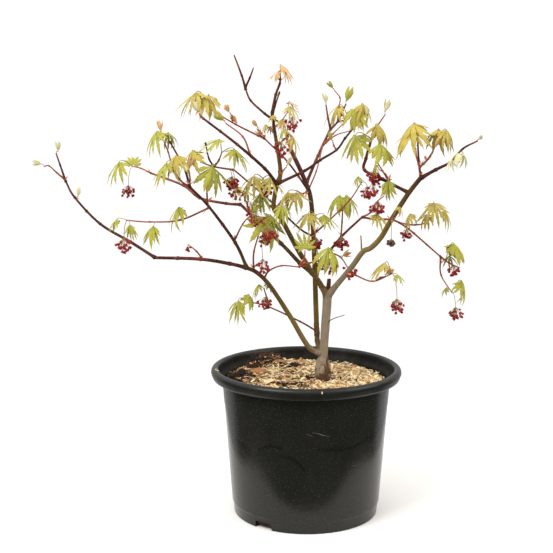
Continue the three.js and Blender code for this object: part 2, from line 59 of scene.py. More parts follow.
# the pot's sizes, in millimetres
POT_HEIGHT = 265
RIM_RADIUS = 170
RIM_WIDTH = 14
RIM_DEPTH = 21
NECK_RADIUS = 150
BASE_RADIUS = 130
FOOT_HEIGHT = 22
WALL = 3
FLOOR = 4
POT_STEPS = 288
NOTCHES = 3
NOTCH_SIZE = (34, 12, 24)
NOTCH_TURN = 234
NOTCH_CORNER = 4
# soft dents in the wall: heading, height, depth, half width in degrees, half height
DENTS = [
    (262, 96, 0.8, 14, 22),
    (40, 150, 1.2, 12, 16),
    (120, 110, 1.0, 14, 20),
]
# creases pushed into the wall: points as heading and height, a depth and a half width; the depth also sets
# how dark each crease is painted, as painted shade
CREASES = [
    ([(213, 153), (220, 147), (226, 143)], 0.18, 7),
    ([(234, 146), (239, 153), (244, 157), (251, 154)], 0.28, 5),
    ([(252, 140), (261, 135), (268, 117)], 0.25, 5),
    ([(278, 154), (288, 152), (300, 151), (306, 155), (320, 164)], 0.27, 6),
    ([(320, 153), (328, 162), (337, 170)], -0.2, 5),
    ([(60, 150), (72, 146), (85, 152)], 0.5, 6),
    ([(140, 170), (150, 160), (158, 158)], 0.5, 6),
]
# scratches in the wall: points as heading and height, and a width
SCRATCHES = [
    ([(273, 186), (279, 181), (284.6, 176.5)], 0.9),
    ([(268, 183), (271, 180.5), (273.5, 177.5)], 0.5),
    ([(301, 120), (305, 117), (308, 118)], 0.4),
    ([(98, 190), (104, 186), (111, 187)], 0.6),
    ([(20, 90), (22, 70), (23, 61)], 0.5),
]
FLECKS = 360
SCUFF_SEED = 41

# the mulch, in millimetres
MIX_TOP = 242
MIX_EDGE_DROP = 4
MIX_RINGS = 18
CHIPS = 4200
CRUMBS = 420
ROOT_FIBRES = 120
MULCH_SEED = 7
# how far from the pot's middle chips, crumbs and roots are strewn, and how far their ends may reach
CHIP_REACH = 141
CHIP_LIMIT = 144
CRUMB_REACH = 138
CRUMB_LIMIT = 143
ROOT_REACH = 134
ROOT_LIMIT = 141
# how far chips and crumbs keep from the trunk's middle
CHIP_GAP = 19.5
CRUMB_GAP = 18
# hummocks of soil: x, y, height and half widths in x and y
HUMMOCKS = [(-118, 10, 7.5, 24, 40), (-78, 110, 15, 24, 22)]
# where dark soil shows between the chips: x, y, radius
DARK_SPOTS = [
    (-124, 8, 30), (-76, 112, 27), (-94, 84, 23), (-14, 84, 15),
    (-26, -52, 25), (4, 4, 15), (60, 118, 14), (84, -92, 20),
]
# where roots stick out of the soil: x, y, spread
ROOT_SPOTS = [(-110, 20, 34), (-78, 112, 24), (-92, 90, 24), (-72, 116, 22), (-84, 106, 24)]
# flat pieces of bark: x, y, length, width, turn, lift and roll
FLAKES = [
    (-86, 26, 27, 15, 4, 7, 34),
    (-50, 96, 22, 12, 10, 3, 12),
    (92, 88, 20, 9, 60, 4, 0),
    (20, -104, 24, 9, 120, 4, 0),
]
FLAKE_COLOUR = (0.42, 0.19, 0.075)
# bits of wood that lie on the rim: x, y, z, length, turn and pitch
RIM_BITS = [
    (-157, -34, 264.7, 7, 130, 0),
    (-160, -27, 265.2, 5, 60, 0),
    (22, -168, 260, 4, 278, -66),
    (-21, -161, 265.1, 3.5, 20, 0),
    (-96, 130, 265.1, 5, 40, 0),
]

# the trunk, in millimetres
TRUNK_FOOT = (30, -5, 242.3)
TRUNK_LEGS = [(30, 90, 88), (45, 35, 86), (82, 20, 86)]
TRUNK_RADIUS = 7.8
FLARE_RADIUS = 7
FLARE_LENGTH = 31
FLARE_FADE = 5
KNOB_RADIUS = 1.6
# a healed cut at the trunk's foot: its middle, half width and half height
SCAR = ((29.2, -17, 262), 6, 10)
# a cleft beside it: x, height and half height
CLEFT = (39, 269, 16)
VOXEL = 0.8
LINE_STEPS = 60
NODE_SPACING = 45

# Limbs: name, parent, how far along it, first and last radius, first and last age, and legs.
# A leg is length, heading and climb. Age 1 is old grey bark, 0.45 a dark young limb, 0 a green stalk.
LIMBS = [
    ("right_bough", "trunk", 0.955, 5.2, 4.0, 0.98, 0.5,
     [(74, -30, 50), (35, -34, 52), (16, -24, 28), (27, -32, 45), (37, -43, 56), (62, -44, 53),
      (34, -39, 49)]),
    ("left_bough", "trunk", 0.96, 4.9, 3.8, 0.66, 0.52,
     [(40, -160, 56), (59, -145, 53), (78, -138, 55), (21, -154, 52), (24, 67, 80), (20, 45, 69)]),
    ("inner_stem", "trunk", 0.29, 4.9, 4.0, 0.74, 0.38,
     [(20, 122, 37), (25, 118, 77), (39, 104, 80), (87, 104, 82), (102, 112, 82), (44, 148, 72),
      (68, 138, 58)]),
    ("left_stem", "trunk", 0.28, 4.8, 3.6, 0.84, 0.5,
     [(32, -175, 31), (66, -166, 59), (65, -167, 57), (34, -165, 46), (20, -170, 27)]),
    ("right_outer", "right_bough", 1, 3.2, 2.2, 0.47, 0.43, [(31, -36, 28), (29, -42, 24)]),
    ("right_inner", "right_bough", 0.88, 2.9, 2.4, 0.46, 0.4,
     [(55, 144, 22), (42, 136, 19), (21, 59, 75), (29, 45, 67)]),
    ("leader", "left_bough", 1, 3.8, 2.1, 0.58, 0.43,
     [(21, 49, 71), (46, 122, 75), (46, 125, 75), (11, 110, 80), (30, 41, 75), (20, 24, 68)]),
    ("leader_fork", "leader", 0.64, 2.3, 1.5, 0.44, 0.42, [(21, 138, 27), (37, 144, 36), (23, 131, 54)]),
    ("front_left", "left_bough", 0.99, 2.9, 1.7, 0.45, 0.42,
     [(42, -133, 43), (79, -133, 33), (87, -131, 29)]),
    ("cross_bough", "left_bough", 1, 2.7, 1.6, 0.45, 0.42,
     [(51, 12, 24), (32, 7, 34), (34, -16, 32), (24, -21, 53), (21, -21, 50)]),
    ("back_left", "left_bough", 0.2, 3.9, 2.9, 0.58, 0.4, [(41, 128, 22), (60, 130, 30), (121, 137, 32)]),
    ("back_left_end", "back_left", 1, 2.8, 1.9, 0.42, 0.32,
     [(36, 142, 0), (61, 148, 7), (46, 147, 29), (76, 152, 16)]),
    ("back_right", "inner_stem", 0.81, 2.9, 2.2, 0.42, 0.38, [(65, 59, 48), (64, 59, 45)]),
    ("thin_left", "inner_stem", 0.77, 1.9, 1.4, 0.42, 0.25, [(70, -151, 51), (62, -151, 42)]),
    ("low_left", "left_stem", 1, 3.3, 2.8, 0.43, 0.41, [(31, 170, 12), (55, 163, 6), (87, 161, -1)]),
    ("low_left_end", "low_left", 1, 2.9, 1.8, 0.45, 0.44,
     [(56, 159, 28), (67, 161, 27), (68, 159, 42), (34, 149, 54)]),
    ("rising_left", "left_stem", 1, 3.1, 2, 0.52, 0.42, [(53, -139, 61), (85, -141, 50), (51, -143, 43)]),
    ("middle_right", "inner_stem", 0.42, 2.7, 2.1, 0.44, 0.36, [(19, 36, 30), (59, 34, 43), (58, 34, 35)]),
    ("middle_right_end", "middle_right", 1, 2.1, 1.5, 0.35, 0.3,
     [(31, 34, -11), (59, 31, -10), (117, 29, -36)]),
    ("twig_left", "inner_stem", 0.56, 1.8, 1.4, 0.42, 0.34, [(35, -150, 30), (81, -146, 40), (96, -141, 36)]),
]
LIMB_ROWS = {row[0]: row for row in LIMBS}
BOUGHS = ("trunk", "right_bough", "left_bough", "inner_stem", "left_stem")
# rough brown bark at the foot of a stem: how far it climbs in millimetres and how brown it is
ROUGH_FEET = {
    "inner_stem": (70, 0.9), "left_stem": (42, 0.2), "left_bough": (75, 0.45), "right_bough": (12, 0.35)}
# thicker twigs with dark bark, the old ones with a large bud at the end
OLD_TWIGS = ("rising_left_tip", "leader_stub", "twig_left_bud")
DARK_TWIGS = (
    "leader_fork_tip", "leader_fork_side", "low_left_tip", "back_right_tip", "back_right_up", "right_top",
    "right_outer_tip")
TWIG_SEED = 23

# Dead stubs left on the trunk and boughs: limb, how far along, radius, age and legs.
STUBS = [
    ("trunk", 0.95, 4.7, 0.5, [(32, 30, 84)]),
    ("trunk", 0.63, 1.2, 0.62, [(18, -38, 38), (25, -20, 22)]),
    ("right_bough", 0.37, 1.6, 0.7, [(31, 120, 84)]),
    ("left_bough", 0.82, 2.6, 0.7, [(10, -149, 37)]),
]

# Ways a leaf is carried: the stalk as a share of the blade, the stalk's climb, the blade's tilt and droop,
# then the fan of its lobes in degrees, how much of the blade is fused, how far its lobes bulge and fold,
# and its teeth on a side.
HANG = (0.66, 46, 26, 50, 270, 0.14, 0.042, 0.4, 3)
LEVEL = (0.6, 8, 20, 44, 240, 0.14, 0.042, 0.4, 3)
DROP = (0.3, -35, 26, 54, 220, 0.13, 0.042, 0.4, 3)
DOME = (0.5, 62, 18, 56, 290, 0.2, 0.042, 0.35, 3)
BROAD = (0.42, 55, 50, 34, 236, 0.31, 0.042, 0.25, 3)
FAN = (0.75, 5, 46, 34, 220, 0.31, 0.042, 0.25, 3)
SPREAD = (0.65, 70, 8, 24, 220, 0.15, 0.042, 0.35, 3)
UPRIGHT = (0.2, 70, -72, 20, 230, 0.33, 0.04, 0.25, 3)
CAP = (0.5, 62, 18, 56, 280, 0.36, 0.042, 0.3, 3)
TALL = (0.85, 72, 18, 56, 280, 0.36, 0.042, 0.3, 3)
FOLDED = (0.6, 8, 38, 48, 140, 0.14, 0.042, 0.4, 3)
YOUNG = (0.55, 74, 22, 40, 150, 0.24, 0.05, 0.3, 2)
NARROW = (0.3, -35, 26, 54, 130, 0.13, 0.042, 0.4, 3)
BUD = (0.35, 62, 180, 66, 288, 0.2, 0.075, 0.4, 0)
# a shorter blade has fewer lobes
SMALL_LEAF = 30
# a shoot with a blade this long has more bud scales at its foot
GROWN_LEAF = 18
SCALE_SEED = 61
# a lobe's share of the blade's length, from the middle of the fan to its edge
LOBE_STEPS = (0, 0.33, 0.67, 1)
LOBE_SHARES = (1, 0.95, 0.74, 0.42)
# how much longer a blade and a bud are than their row says
LEAF_GROWTH = 1.22
BUD_GROWTH = 1.35
# how far from the twig's end the last leaves sit
TWIG_TIP = 1.2
# the cluster that has dried, and how far the four flowers on a stalk hang, in degrees
DRIED = "right_dried"
FLOWER_FALLS = ((-25, 10), (0, 40), (15, 55), (45, 88))

# Shoots: mass, twig, parent, how far along it, legs, leaves, flower clusters, seed and tint.
# A bare shoot ends with its legs.
# A leaf is how far along, blade length, heading, carriage and a tint of its own if it has one.
# A flower cluster is how far along, hang, flowers and heading.
SHOOTS = [
    ("low_left_tip", "low_left_tip", "low_left_end", 1, [(33, 152, 68), (23, 151, 68)],
     [(1, 15, 20, BUD)], [], 21, "pale"),
    ("low_left_tip", "low_left_bud", "low_left_tip", 0.07, [(20, -161, 42), (19, -164, 43), (9, -167, -10)],
     [(1, 14, 175, BUD)], [], 26, "pale"),
    ("low_left_spur", "low_left_spur", "low_left", 0.47, [(18, -155, 52), (16, -161, 42)],
     [], [(1, -3, 1, 110)], 14, "fresh"),
    ("hanging_left", "hanging_left", "rising_left", 0.72, [(58, -149, -18), (55, -149, 0), (42, -149, 7)],
     [(0.34, 36, 205, DOME), (0.66, 36, 240, NARROW), (1, 24, 185, LEVEL), (0.97, 26, 300, NARROW)],
     [(0.98, 29, 5, 230)], 17, "lime"),
    ("rising_left_tip", "rising_left_tip", "rising_left", 1, [(36, -125, 66), (47, -138, 57)],
     [(0.45, 44, 190, FAN, "lime"), (0.45, 38, 250, HANG), (0.7, 26, 215, DROP)],
     [], 47, "gold"),
    ("rising_left_tip", "left_red", "rising_left", 1,
     [(21, 160, 33), (28, 164, 60), (23, 162, 73), (32, 170, 68)],
     [(0.85, 42, 190, HANG), (0.85, 30, 60, HANG), (1, 16, 100, BUD, "bronze")], [], 9, "lime"),
    ("back_left_tip", "back_left_tip", "back_left_end", 1, [(25, 155, 21), (20, 157, 10)],
     [(1, 48, 212, LEVEL), (1, 24, 90, UPRIGHT, "lime")],
     [(0.95, 38, 6, 190)], 23, "lime"),
    ("left_umbrella", "left_umbrella", "rising_left", 0.75, [(28, -93, 73), (21, -56, 71)],
     [(1, 46, 318, BROAD)], [], 7, "lime"),
    ("front_left_tip", "front_left_tip", "front_left", 1, [(6, -139, 34), (6, -140, 52)],
     [(1, 15, 150, BUD)], [], 38, "pale"),
    ("front_left_side", "front_left_side", "front_left", 0.4, [(34, 149, 64), (36, 174, 38)],
     [(1, 16, 190, BUD)], [], 26, "fresh"),
    ("thin_left_tip", "thin_left_tip", "thin_left", 1, [(59, -165, 26), (54, -158, 30)],
     [(1, 48, 182, HANG), (1, 42, 250, YOUNG), (0.5, 12, 80, BUD, "bronze"), (0.06, 12, 110, BUD, "bronze")],
     [], 25, "gold"),
    ("twig_left_tip", "twig_left_tip", "twig_left", 1, [(38, -151, 10), (26, -155, 19)],
     [(1, 42, 190, DOME)], [(0.2, 13, 8, 0), (0.1, 30, 3, 10)], 26, "gold"),
    ("twig_left_tip", "twig_left_up", "twig_left_tip", 0.59, [(14, -17, 53), (15, -21, 67)],
     [(1, 42, 190, SPREAD), (1, 40, 345, LEVEL)], [], 9, "fresh"),
    ("back_left_side", "back_left_side", "back_left", 0.86, [(20, -164, 69), (17, -143, 66)],
     [(1, 28, 190, HANG), (1, 26, 60, HANG)], [(0.7, 2, 3, 0)], 17, "lime"),
    ("rising_left_twig", "rising_left_twig", "rising_left", 0.3, [(36, -34, 59), (22, -24, 46)],
     [(1, 15, 40, BUD)], [(1, -5, 3, 0)], 21, "fresh"),
    ("left_stem_sprout", "left_stem_sprout", "left_stem", 0.94, [(35, -84, 79), (49, -37, 70)],
     [(1, 50, 325, BROAD), (1, 40, 15, HANG)], [(0.92, 8, 4, 340), (0.72, 36, 4, 0)], 38, "lime"),
    ("twig_left_leaves", "twig_left_leaves", "twig_left", 0.66, [(15, -49, 71), (13, -89, 72)],
     [(1, 40, 250, LEVEL), (1, 38, 310, LEVEL), (0.15, 34, 240, DROP, "lime")],
     [(0.5, -3, 4, 300)], 60, "gold"),
    ("left_bough_knob", "left_bough_knob", "left_bough", 0.82, [(14, -43, 34), (10, -61, 46)],
     [(1, 36, 300, DROP)], [], 4, "lime"),
    ("inner_left", "inner_left", "inner_stem", 0.78, [(18, -126, -19), (16, -137, 21)],
     [(1, 36, 200, LEVEL), (1, 34, 270, LEVEL)], [], 2, "gold"),
    ("arc_sprout", "arc_sprout", "left_stem", 0.83, [(21, -52, 48), (27, -30, 24), (33, -25, 0)]),
    ("arc_sprout", "arc_up", "arc_sprout", 1, [(16, -24, 53), (16, -51, 81)],
     [(1, 28, 90, UPRIGHT, "fresh")], [], 1, "lime"),
    ("arc_sprout", "arc_out", "arc_sprout", 1, [(22, -23, 22), (30, -18, 13)],
     [(1, 44, 300, CAP)], [(1, -2, 4, 300)], 6, "lime"),
    ("low_sprout", "low_sprout", "inner_stem", 0.12, [(36, -174, 31), (67, -162, 27), (48, -155, 17)],
     [(1, 38, 235, FOLDED), (1, 26, 330, CAP)], [], 25, "lime"),
    ("low_sprout", "low_sprout_up", "low_sprout", 0.68, [(15, -140, 79), (19, -159, 73)],
     [(1, 24, 200, HANG), (1, 22, 20, HANG)], [(0.35, -8, 5, 250)], 10, "lime"),
    ("inner_front", "inner_front", "inner_stem", 0.55, [(25, -96, 47), (33, -73, 60)],
     [(1, 36, 240, LEVEL), (1, 34, 320, LEVEL, "lime")], [(0.5, 16, 9, 300)], 17, "gold"),
    ("thin_right", "thin_right", "inner_stem", 0.57, [(45, -35, 40), (58, -40, 41), (43, -46, 50)],
     [(1, 20, 200, HANG)], [(1, 8, 4, 0)], 30, "fresh"),
    ("middle_up", "middle_up", "middle_right", 0.57, [(29, -78, 78), (35, -83, 77)],
     [(1, 40, 220, DOME), (1, 38, 320, DOME)], [(0.3, 17, 7, 250)], 13, "lime"),
    ("fork_front", "fork_front", "middle_right", 0.3, [(29, -48, -12), (28, -53, -38)],
     [(0.6, 14, 20, BUD)], [(1, -3, 6, 300)], 58, "bronze"),
    ("right_low", "right_low", "right_bough", 0.21, [(21, -49, -8), (34, -32, -13), (38, -24, 24)],
     [(1, 38, 200, YOUNG), (1, 22, 340, LEVEL, "fresh")], [(1, 44, 7, 0)], 34, "gold"),
    ("middle_top", "middle_top", "middle_right", 1, [(20, -38, 28), (23, -39, 56), (20, -30, 40)],
     [(1, 18, 0, HANG), (0.25, 34, 310, LEVEL)], [(0.65, -4, 6, 290)], 58, "gold"),
    ("right_inner_tip", "right_inner_tip", "right_inner", 1, [(18, -1, 74), (36, -6, 57)],
     [(0.1, 46, 235, FAN, "lime"), (0.2, 42, 345, DOME), (1, 17, 60, BUD, "pale")], [], 60, "gold"),
    ("right_inner_mid", "right_inner_mid", "right_inner", 0.26, [(24, 149, 54), (19, 144, 53)],
     [(1, 42, 312, TALL), (0.15, 32, 275, FOLDED, "fresh")], [(1, 14, 8, 230), (1, 36, 3, 230)], 47, "lime"),
    ("right_top", "right_top", "right_bough", 1, [(30, 117, 77), (34, 99, 76)],
     [(1, 58, 185, DOME), (1, 42, 215, HANG)], [], 58, "gold"),
    ("right_top", "right_top_side", "right_top", 0.27, [(25, -18, 47), (30, -25, 66)],
     [(1, 43, 60, DOME), (1, 34, 330, HANG)], [], 59, "gold"),
    ("right_outer_tip", "right_outer_tip", "right_outer", 1, [(34, -39, 45), (29, -38, 27)],
     [(0.45, 24, 230, DROP), (0.45, 24, 20, DROP), (0.2, 22, 190, DROP), (1, 8, 0, BUD)], [], 50, "pale"),
    ("right_dried", "right_dried", "right_bough", 0.66, [(18, -85, 25), (12, -60, 48)],
     [(1, 18, 350, HANG)], [(0.6, 36, 4, 250)], 17, "gold"),
    ("middle_end_up", "middle_end_up", "middle_right_end", 0.44,
     [(30, -28, -3), (24, -26, 17), (26, -31, 54)],
     [(1, 40, 265, HANG), (1, 36, 340, LEVEL), (0.42, 34, 160, HANG), (0.7, 28, 250, HANG)],
     [(0.14, 9, 4, 250)], 5, "gold"),
    ("middle_end_tip", "middle_end_tip", "middle_right_end", 1, [(25, 19, -36), (26, 19, -24)],
     [(0.3, 44, 345, TALL), (0.5, 28, 100, HANG)], [(0.75, -1, 4, 240)], 13, "lime"),
    ("middle_end_tip", "middle_end_hang", "middle_end_tip", 0.04, [(36, -90, -70), (40, -30, -55)],
     [(1, 44, 325, HANG), (1, 20, 190, HANG)], [(1, 30, 7, 0)], 14, "lime"),
    ("back_right_tip", "back_right_tip", "back_right", 1, [(26, 41, 38), (36, 34, 60)],
     [(1, 21, 60, BUD)], [], 30, "fresh"),
    ("back_right_tip", "back_right_out", "back_right_tip", 0.38, [(19, 29, 11), (8, 21, 18)],
     [(1, 38, 0, HANG), (1, 44, 165, HANG)], [], 19, "gold"),
    ("back_right_tip", "back_right_up", "back_right_tip", 0.03, [(21, 154, 75), (25, 132, 77)],
     [(1, 15, 90, BUD)], [], 47, "pale"),
    ("cross_tip", "cross_tip", "cross_bough", 1, [(14, -39, 62), (10, -33, 71)],
     [(1, 34, 330, HANG), (1, 34, 250, BROAD, "lime")], [], 15, "gold"),
    ("leader_mid", "leader_mid", "leader", 0.38, [(19, -40, 33), (13, -26, 48)],
     [(1, 30, 345, DROP), (1, 22, 200, HANG, "lime")], [(0.7, 8, 4, 220)], 17, "gold"),
    ("inner_tip", "inner_tip", "inner_stem", 1, [(22, 141, 65), (19, 49, 73)],
     [(1, 22, 185, HANG), (0.5, 20, 20, HANG)], [], 17, "bronze"),
    ("leader_tip", "leader_tip", "leader", 1, [(8, 0, 83), (5, 94, 90)],
     [(1, 36, 335, YOUNG), (1, 24, 195, YOUNG)], [], 58, "bronze"),
    ("leader_fork_tip", "leader_fork_tip", "leader_fork", 1, [(26, 139, 69), (37, 136, 62)]),
    ("leader_fork_tip", "leader_fork_side", "leader_fork_tip", 0.06, [(19, -20, 63), (15, -20, 68)]),
]

# Finer shoots on the same limbs, in the same form.
FINE_SHOOTS = [
    ("back_right_tip", "right_red", "inner_stem", 0.78, [(35, 31, 63), (30, 58, 62), (22, 60, 59)]),
    ("back_right_tip", "orange_low", "back_right", 0.68, [(31, -19, 39), (29, -13, 18)],
     [(1, 14, 340, BUD)], [], 3, "bronze"),
    ("back_right_tip", "orange_up", "back_right", 0.7, [(28, -12, 48), (26, -7, 45)],
     [(1, 15, 20, BUD)], [], 4, "bronze"),
    ("back_right_tip", "back_right_red", "back_right_tip", 0.39, [(28, 58, 80), (16, 46, 81), (19, -161, 51)],
     [(1, 13, 200, BUD)], [], 5, "fresh"),
    ("leader_tip", "leader_stub", "leader", 0.67, [(18, -56, 66), (21, -16, 71)]),
    ("twig_left_tip", "twig_left_bud", "twig_left_tip", 0.6, [(16, -153, 57), (22, -156, 77)]),
    ("low_left_tip", "low_left_knob", "low_left_end", 0.82, [(3, 46, 81)], [(1, 14, 60, BUD)], [], 8, "pale"),
    ("rising_left_tip", "left_red_short", "rising_left", 1, [(16, -82, 76), (16, -105, 74)],
     [(1, 14, 60, BUD)], [], 10, "bronze"),
    ("right_inner_mid", "right_inner_red", "right_inner", 0.26, [(19, -145, 56), (15, -162, 34)],
     [(1, 18, 190, HANG)], [], 11, "fresh"),
    ("arc_sprout", "inner_red", "inner_stem", 0.34, [(29, -52, 69), (37, -125, 79)],
     [(1, 16, 180, HANG)], [], 12, "lime"),
    ("thin_left_tip", "thin_left_orange", "thin_left_tip", 0.57, [(9, -92, 78), (8, -148, 61)],
     [(1, 12, 150, BUD)], [], 13, "bronze"),
    ("thin_left_tip", "thin_left_low", "thin_left", 0.99, [(12, -145, 54), (11, -164, 51)],
     [(1, 12, 170, BUD)], [], 14, "bronze"),
    ("right_top", "right_top_red", "right_top", 0.27, [(18, -133, 64), (17, -137, 79)],
     [(1, 14, 200, BUD)], [], 15, "bronze"),
    ("right_top", "right_top_red_side", "right_top_side", 0.22, [(16, -25, 53), (11, -24, 64)],
     [(1, 13, 0, BUD)], [], 16, "bronze"),
    ("leader_mid", "leader_shoot", "leader", 0.56, [(16, -28, 37), (21, -18, 53)],
     [(1, 24, 20, SPREAD, "bronze"), (1, 24, 300, HANG, "gold")], [(1, 8, 4, 340)], 17, "fresh"),
    ("leader_mid", "leader_small", "leader", 0.65, [(9, -36, -24), (8, -30, -40)],
     [(1, 18, 300, HANG), (0.5, 15, 200, HANG)], [], 18, "gold"),
    ("leader_mid", "leader_back", "leader", 0.5, [(12, 150, 30)],
     [(1, 18, 170, HANG), (1, 14, 80, HANG)], [], 24, "gold"),
    ("cross_tip", "cross_small", "cross_bough", 0.72, [(10, -134, 46), (7, -151, 73)],
     [(1, 13, 150, BUD)], [], 19, "fresh"),
    ("leader_mid", "leader_low", "leader", 0.07, [(15, -38, 56), (7, -10, 44)],
     [(1, 12, 20, BUD)], [], 20, "pale"),
    ("left_stem_sprout", "sprout_flowers", "left_stem_sprout", 0.97, [(18, 285, 25), (16, 290, -5)],
     [], [(1, 2, 7, 320)], 32, "lime"),
    ("right_low", "right_low_scale", "right_low", 0.67, [(9, -26, 40), (9, -13, 13)],
     [(1, 13, 0, BUD)], [], 22, "bronze"),
]
TINTS = ("lime", "gold", "fresh", "pale", "bronze")

# the floor's middle, half width and corner as shares of its half depth, and how far it lies below the pot
STAGE_MIDDLE = 0.53
STAGE_WIDTH = 0.8
STAGE_CORNER = 0.4
STAGE_DROP = 0.0004
# the camera's place in metres, its pitch in degrees and its sensor in millimetres
CAMERA_PLACE = (-0.053, -1.985, 0.745)
CAMERA_PITCH = 80.9
SENSOR_WIDTH = 36
# lamps: name, place, size and share of the key light's strength
LAMPS = [("key", (-1.6, -1.4, 2.4), 1.6, 1), ("fill", (1.9, -0.6, 1.7), 1.8, 0.35)]
LAMP_AIM = (0, 0, 0.4)


def colour_setting(name, description, default):
    """A colour that the panel shows."""
    return FloatVectorProperty(
        name=name, description=description, subtype="COLOR", size=3, min=0, max=1, default=default)


def number_setting(name, description, default, low=0, **more):
    """A number that the panel shows."""
    return FloatProperty(name=name, description=description, default=default, min=low, **more)


class MaplePot(bpy.types.PropertyGroup):
    """Looks of the nursery pot."""

    colour: colour_setting("Plastic", "Colour of the black plastic", (0.0125, 0.0125, 0.0098))
    dust: colour_setting("Dust", "Colour of the dry dust on the plastic", (0.1, 0.092, 0.075))
    dustiness: number_setting(
        "Dustiness", "How much of the wall the dust covers", 0.06, max=1, subtype="FACTOR")
    flute: number_setting(
        "Unevenness", "How far the moulded wall wanders in and out", 0.0005, max=0.003, unit="LENGTH")


class MapleMulch(bpy.types.PropertyGroup):
    """Looks of the mulch in the pot."""

    chips: IntProperty(
        name="Chips", description="How many wood chips lie on the soil", min=0, max=9000, default=CHIPS)
    pale: colour_setting("Pale chips", "Colour of the palest chips", (1.0, 0.735, 0.44))
    tan: colour_setting("Tan chips", "Colour of most chips", (0.66, 0.38, 0.165))
    brown: colour_setting("Brown chips", "Colour of the bark pieces", (0.17, 0.085, 0.042))
    soil: colour_setting("Soil", "Colour of the potting mix", (0.028, 0.018, 0.012))


class MapleBark(bpy.types.PropertyGroup):
    """Looks of the bark."""

    relief: number_setting(
        "Relief", "Depth of the bark's relief as a share of the limb's radius", 0.045, max=0.2,
        subtype="FACTOR")
    old: colour_setting("Old bark", "Colour of the trunk", (0.31, 0.24, 0.165))
    olive: colour_setting("Olive bark", "Colour of the lower boughs", (0.185, 0.125, 0.02))
    dark: colour_setting("Dark bark", "Colour of the young limbs", (0.06, 0.017, 0.013))
    shoot: colour_setting("Red shoots", "Colour of this year's shoots", (0.4, 0.1, 0.055))
    soiled: colour_setting(
        "Soiled bark", "Colour of stains and cracks at the trunk's foot", (0.105, 0.056, 0.028))
    stalk: colour_setting("Green stalks", "Colour of the leaf stalks", (0.42, 0.4, 0.15))


class MapleFoliage(bpy.types.PropertyGroup):
    """Looks of leaves, buds and blossom."""

    lime: colour_setting("Lime leaves", "Colour of yellow-green leaves", (0.35, 0.35, 0.038))
    gold: colour_setting("Gold leaves", "Colour of olive-gold leaves", (0.45, 0.36, 0.065))
    fresh: colour_setting("Fresh leaves", "Colour of the greenest leaves", (0.37, 0.37, 0.048))
    pale: colour_setting("Pale leaves", "Colour of opening buds", (0.66, 0.64, 0.34))
    ends: colour_setting("Leaf tips", "Colour toward the tips of the lobes", (0.42, 0.25, 0.05))
    bronze: colour_setting("Bronze leaves", "Colour of the youngest, pinkish leaves", (0.66, 0.4, 0.17))
    scale: colour_setting("Bud scales", "Colour of the straps round the shoots' feet", (0.62, 0.22, 0.11))
    blossom: colour_setting("Blossom", "Colour of the petals", (0.26, 0.022, 0.018))
    dried: colour_setting("Dried blossom", "Colour of the one dried cluster", (0.075, 0.045, 0.036))


class MapleStage(bpy.types.PropertyGroup):
    """Floor, light and camera."""

    floor: colour_setting("Floor", "Colour of the floor", (0.97, 0.945, 0.9))
    reach: number_setting("Floor size", "Half the depth of the floor", 0.46, 0.2, unit="LENGTH")
    sky: number_setting("Overhead light", "Strength of the soft light overhead", 1.15)
    front: number_setting("Front light", "Strength of the soft light in front", 0.7)
    backdrop: number_setting("Backdrop", "Strength of the white backdrop", 1.05)
    key: number_setting("Key light", "Strength of the key light", 60, unit="POWER")
    lens: number_setting("Lens", "Focal length", 74.02, 10, max=400, unit="CAMERA")


# helpers for shapes

def direction(heading, climb):
    """A unit vector with this heading and climb, in degrees."""
    turn, rise = math.radians(heading), math.radians(climb)
    flat = math.cos(rise)
    return np.array((flat * math.cos(turn), flat * math.sin(turn), math.sin(rise)))


def unit(vector):
    """The vector at a length of one."""
    return vector / (np.linalg.norm(vector) + 1e-12)


def clamp(value):
    """The value, kept from 0 to 1."""
    return min(1.0, max(0.0, value))


def seeded(seed):
    """The plant's repeatable run of numbers from 0 to 1."""
    state = (seed * 7919 + 104729) % 2147483647
    while True:
        state = state * 48271 % 2147483647
        yield state / 2147483647


def smooth_line(knots, per_leg):
    """Points along a smooth line through the knots."""
    knots = np.asarray(knots, float)
    ends = np.vstack([2 * knots[0] - knots[1], knots, 2 * knots[-1] - knots[-2]])
    made = []
    legs = len(knots) - 1
    for leg in range(legs):
        before, first, second, after = ends[leg:leg + 4]
        out, back = 0.5 * (second - before), 0.5 * (after - first)
        for step in range(per_leg + (leg == legs - 1)):
            t = step / per_leg
            made.append(first + out * t + (3 * (second - first) - 2 * out - back) * t * t
                        + (2 * (first - second) + out + back) * t ** 3)
    return np.array(made)


class Line:
    """A limb's centre line in metres, measured along its length."""

    def __init__(self, start, legs):
        knots = [np.asarray(start, float)]
        for length, heading, climb in legs:
            knots.append(knots[-1] + MM * length * direction(heading, climb))
        self.points = smooth_line(knots, LINE_STEPS)
        steps = np.linalg.norm(np.diff(self.points, axis=0), axis=1)
        self.travel = np.concatenate([[0], np.cumsum(steps)])
        self.length = self.travel[-1]
        marks = [0.0]
        for leg in legs:
            parts = max(1, round(leg[0] / NODE_SPACING))
            marks += [marks[-1] + MM * leg[0] * (k + 1) / parts for k in range(parts)]
        self.nodes = np.array(marks[1:-1])

    def at(self, share):
        """The point this far along, from 0 to 1."""
        return np.array([np.interp(share * self.length, self.travel, self.points[:, k]) for k in range(3)])

    def path(self, spacing):
        """Evenly spaced points and how far along each one lies."""
        count = max(4, round(self.length / spacing) + 1)
        shares = np.linspace(0, 1, count)
        return np.array([self.at(share) for share in shares]), shares

    def node_places(self):
        """Each node's place, the way the line runs there and how far along it lies."""
        for share in self.nodes / self.length:
            at = self.at(share)
            yield at, self.at(min(1, share + 0.02)) - at, share


def bend_path(start, first, second, end, steps):
    """Points along a curve that leaves start towards first and reaches end from second."""
    t = np.linspace(0, 1, steps + 1)[:, None]
    return (1 - t) ** 3 * start + 3 * t * (1 - t) ** 2 * first + 3 * t * t * (1 - t) * second + t ** 3 * end


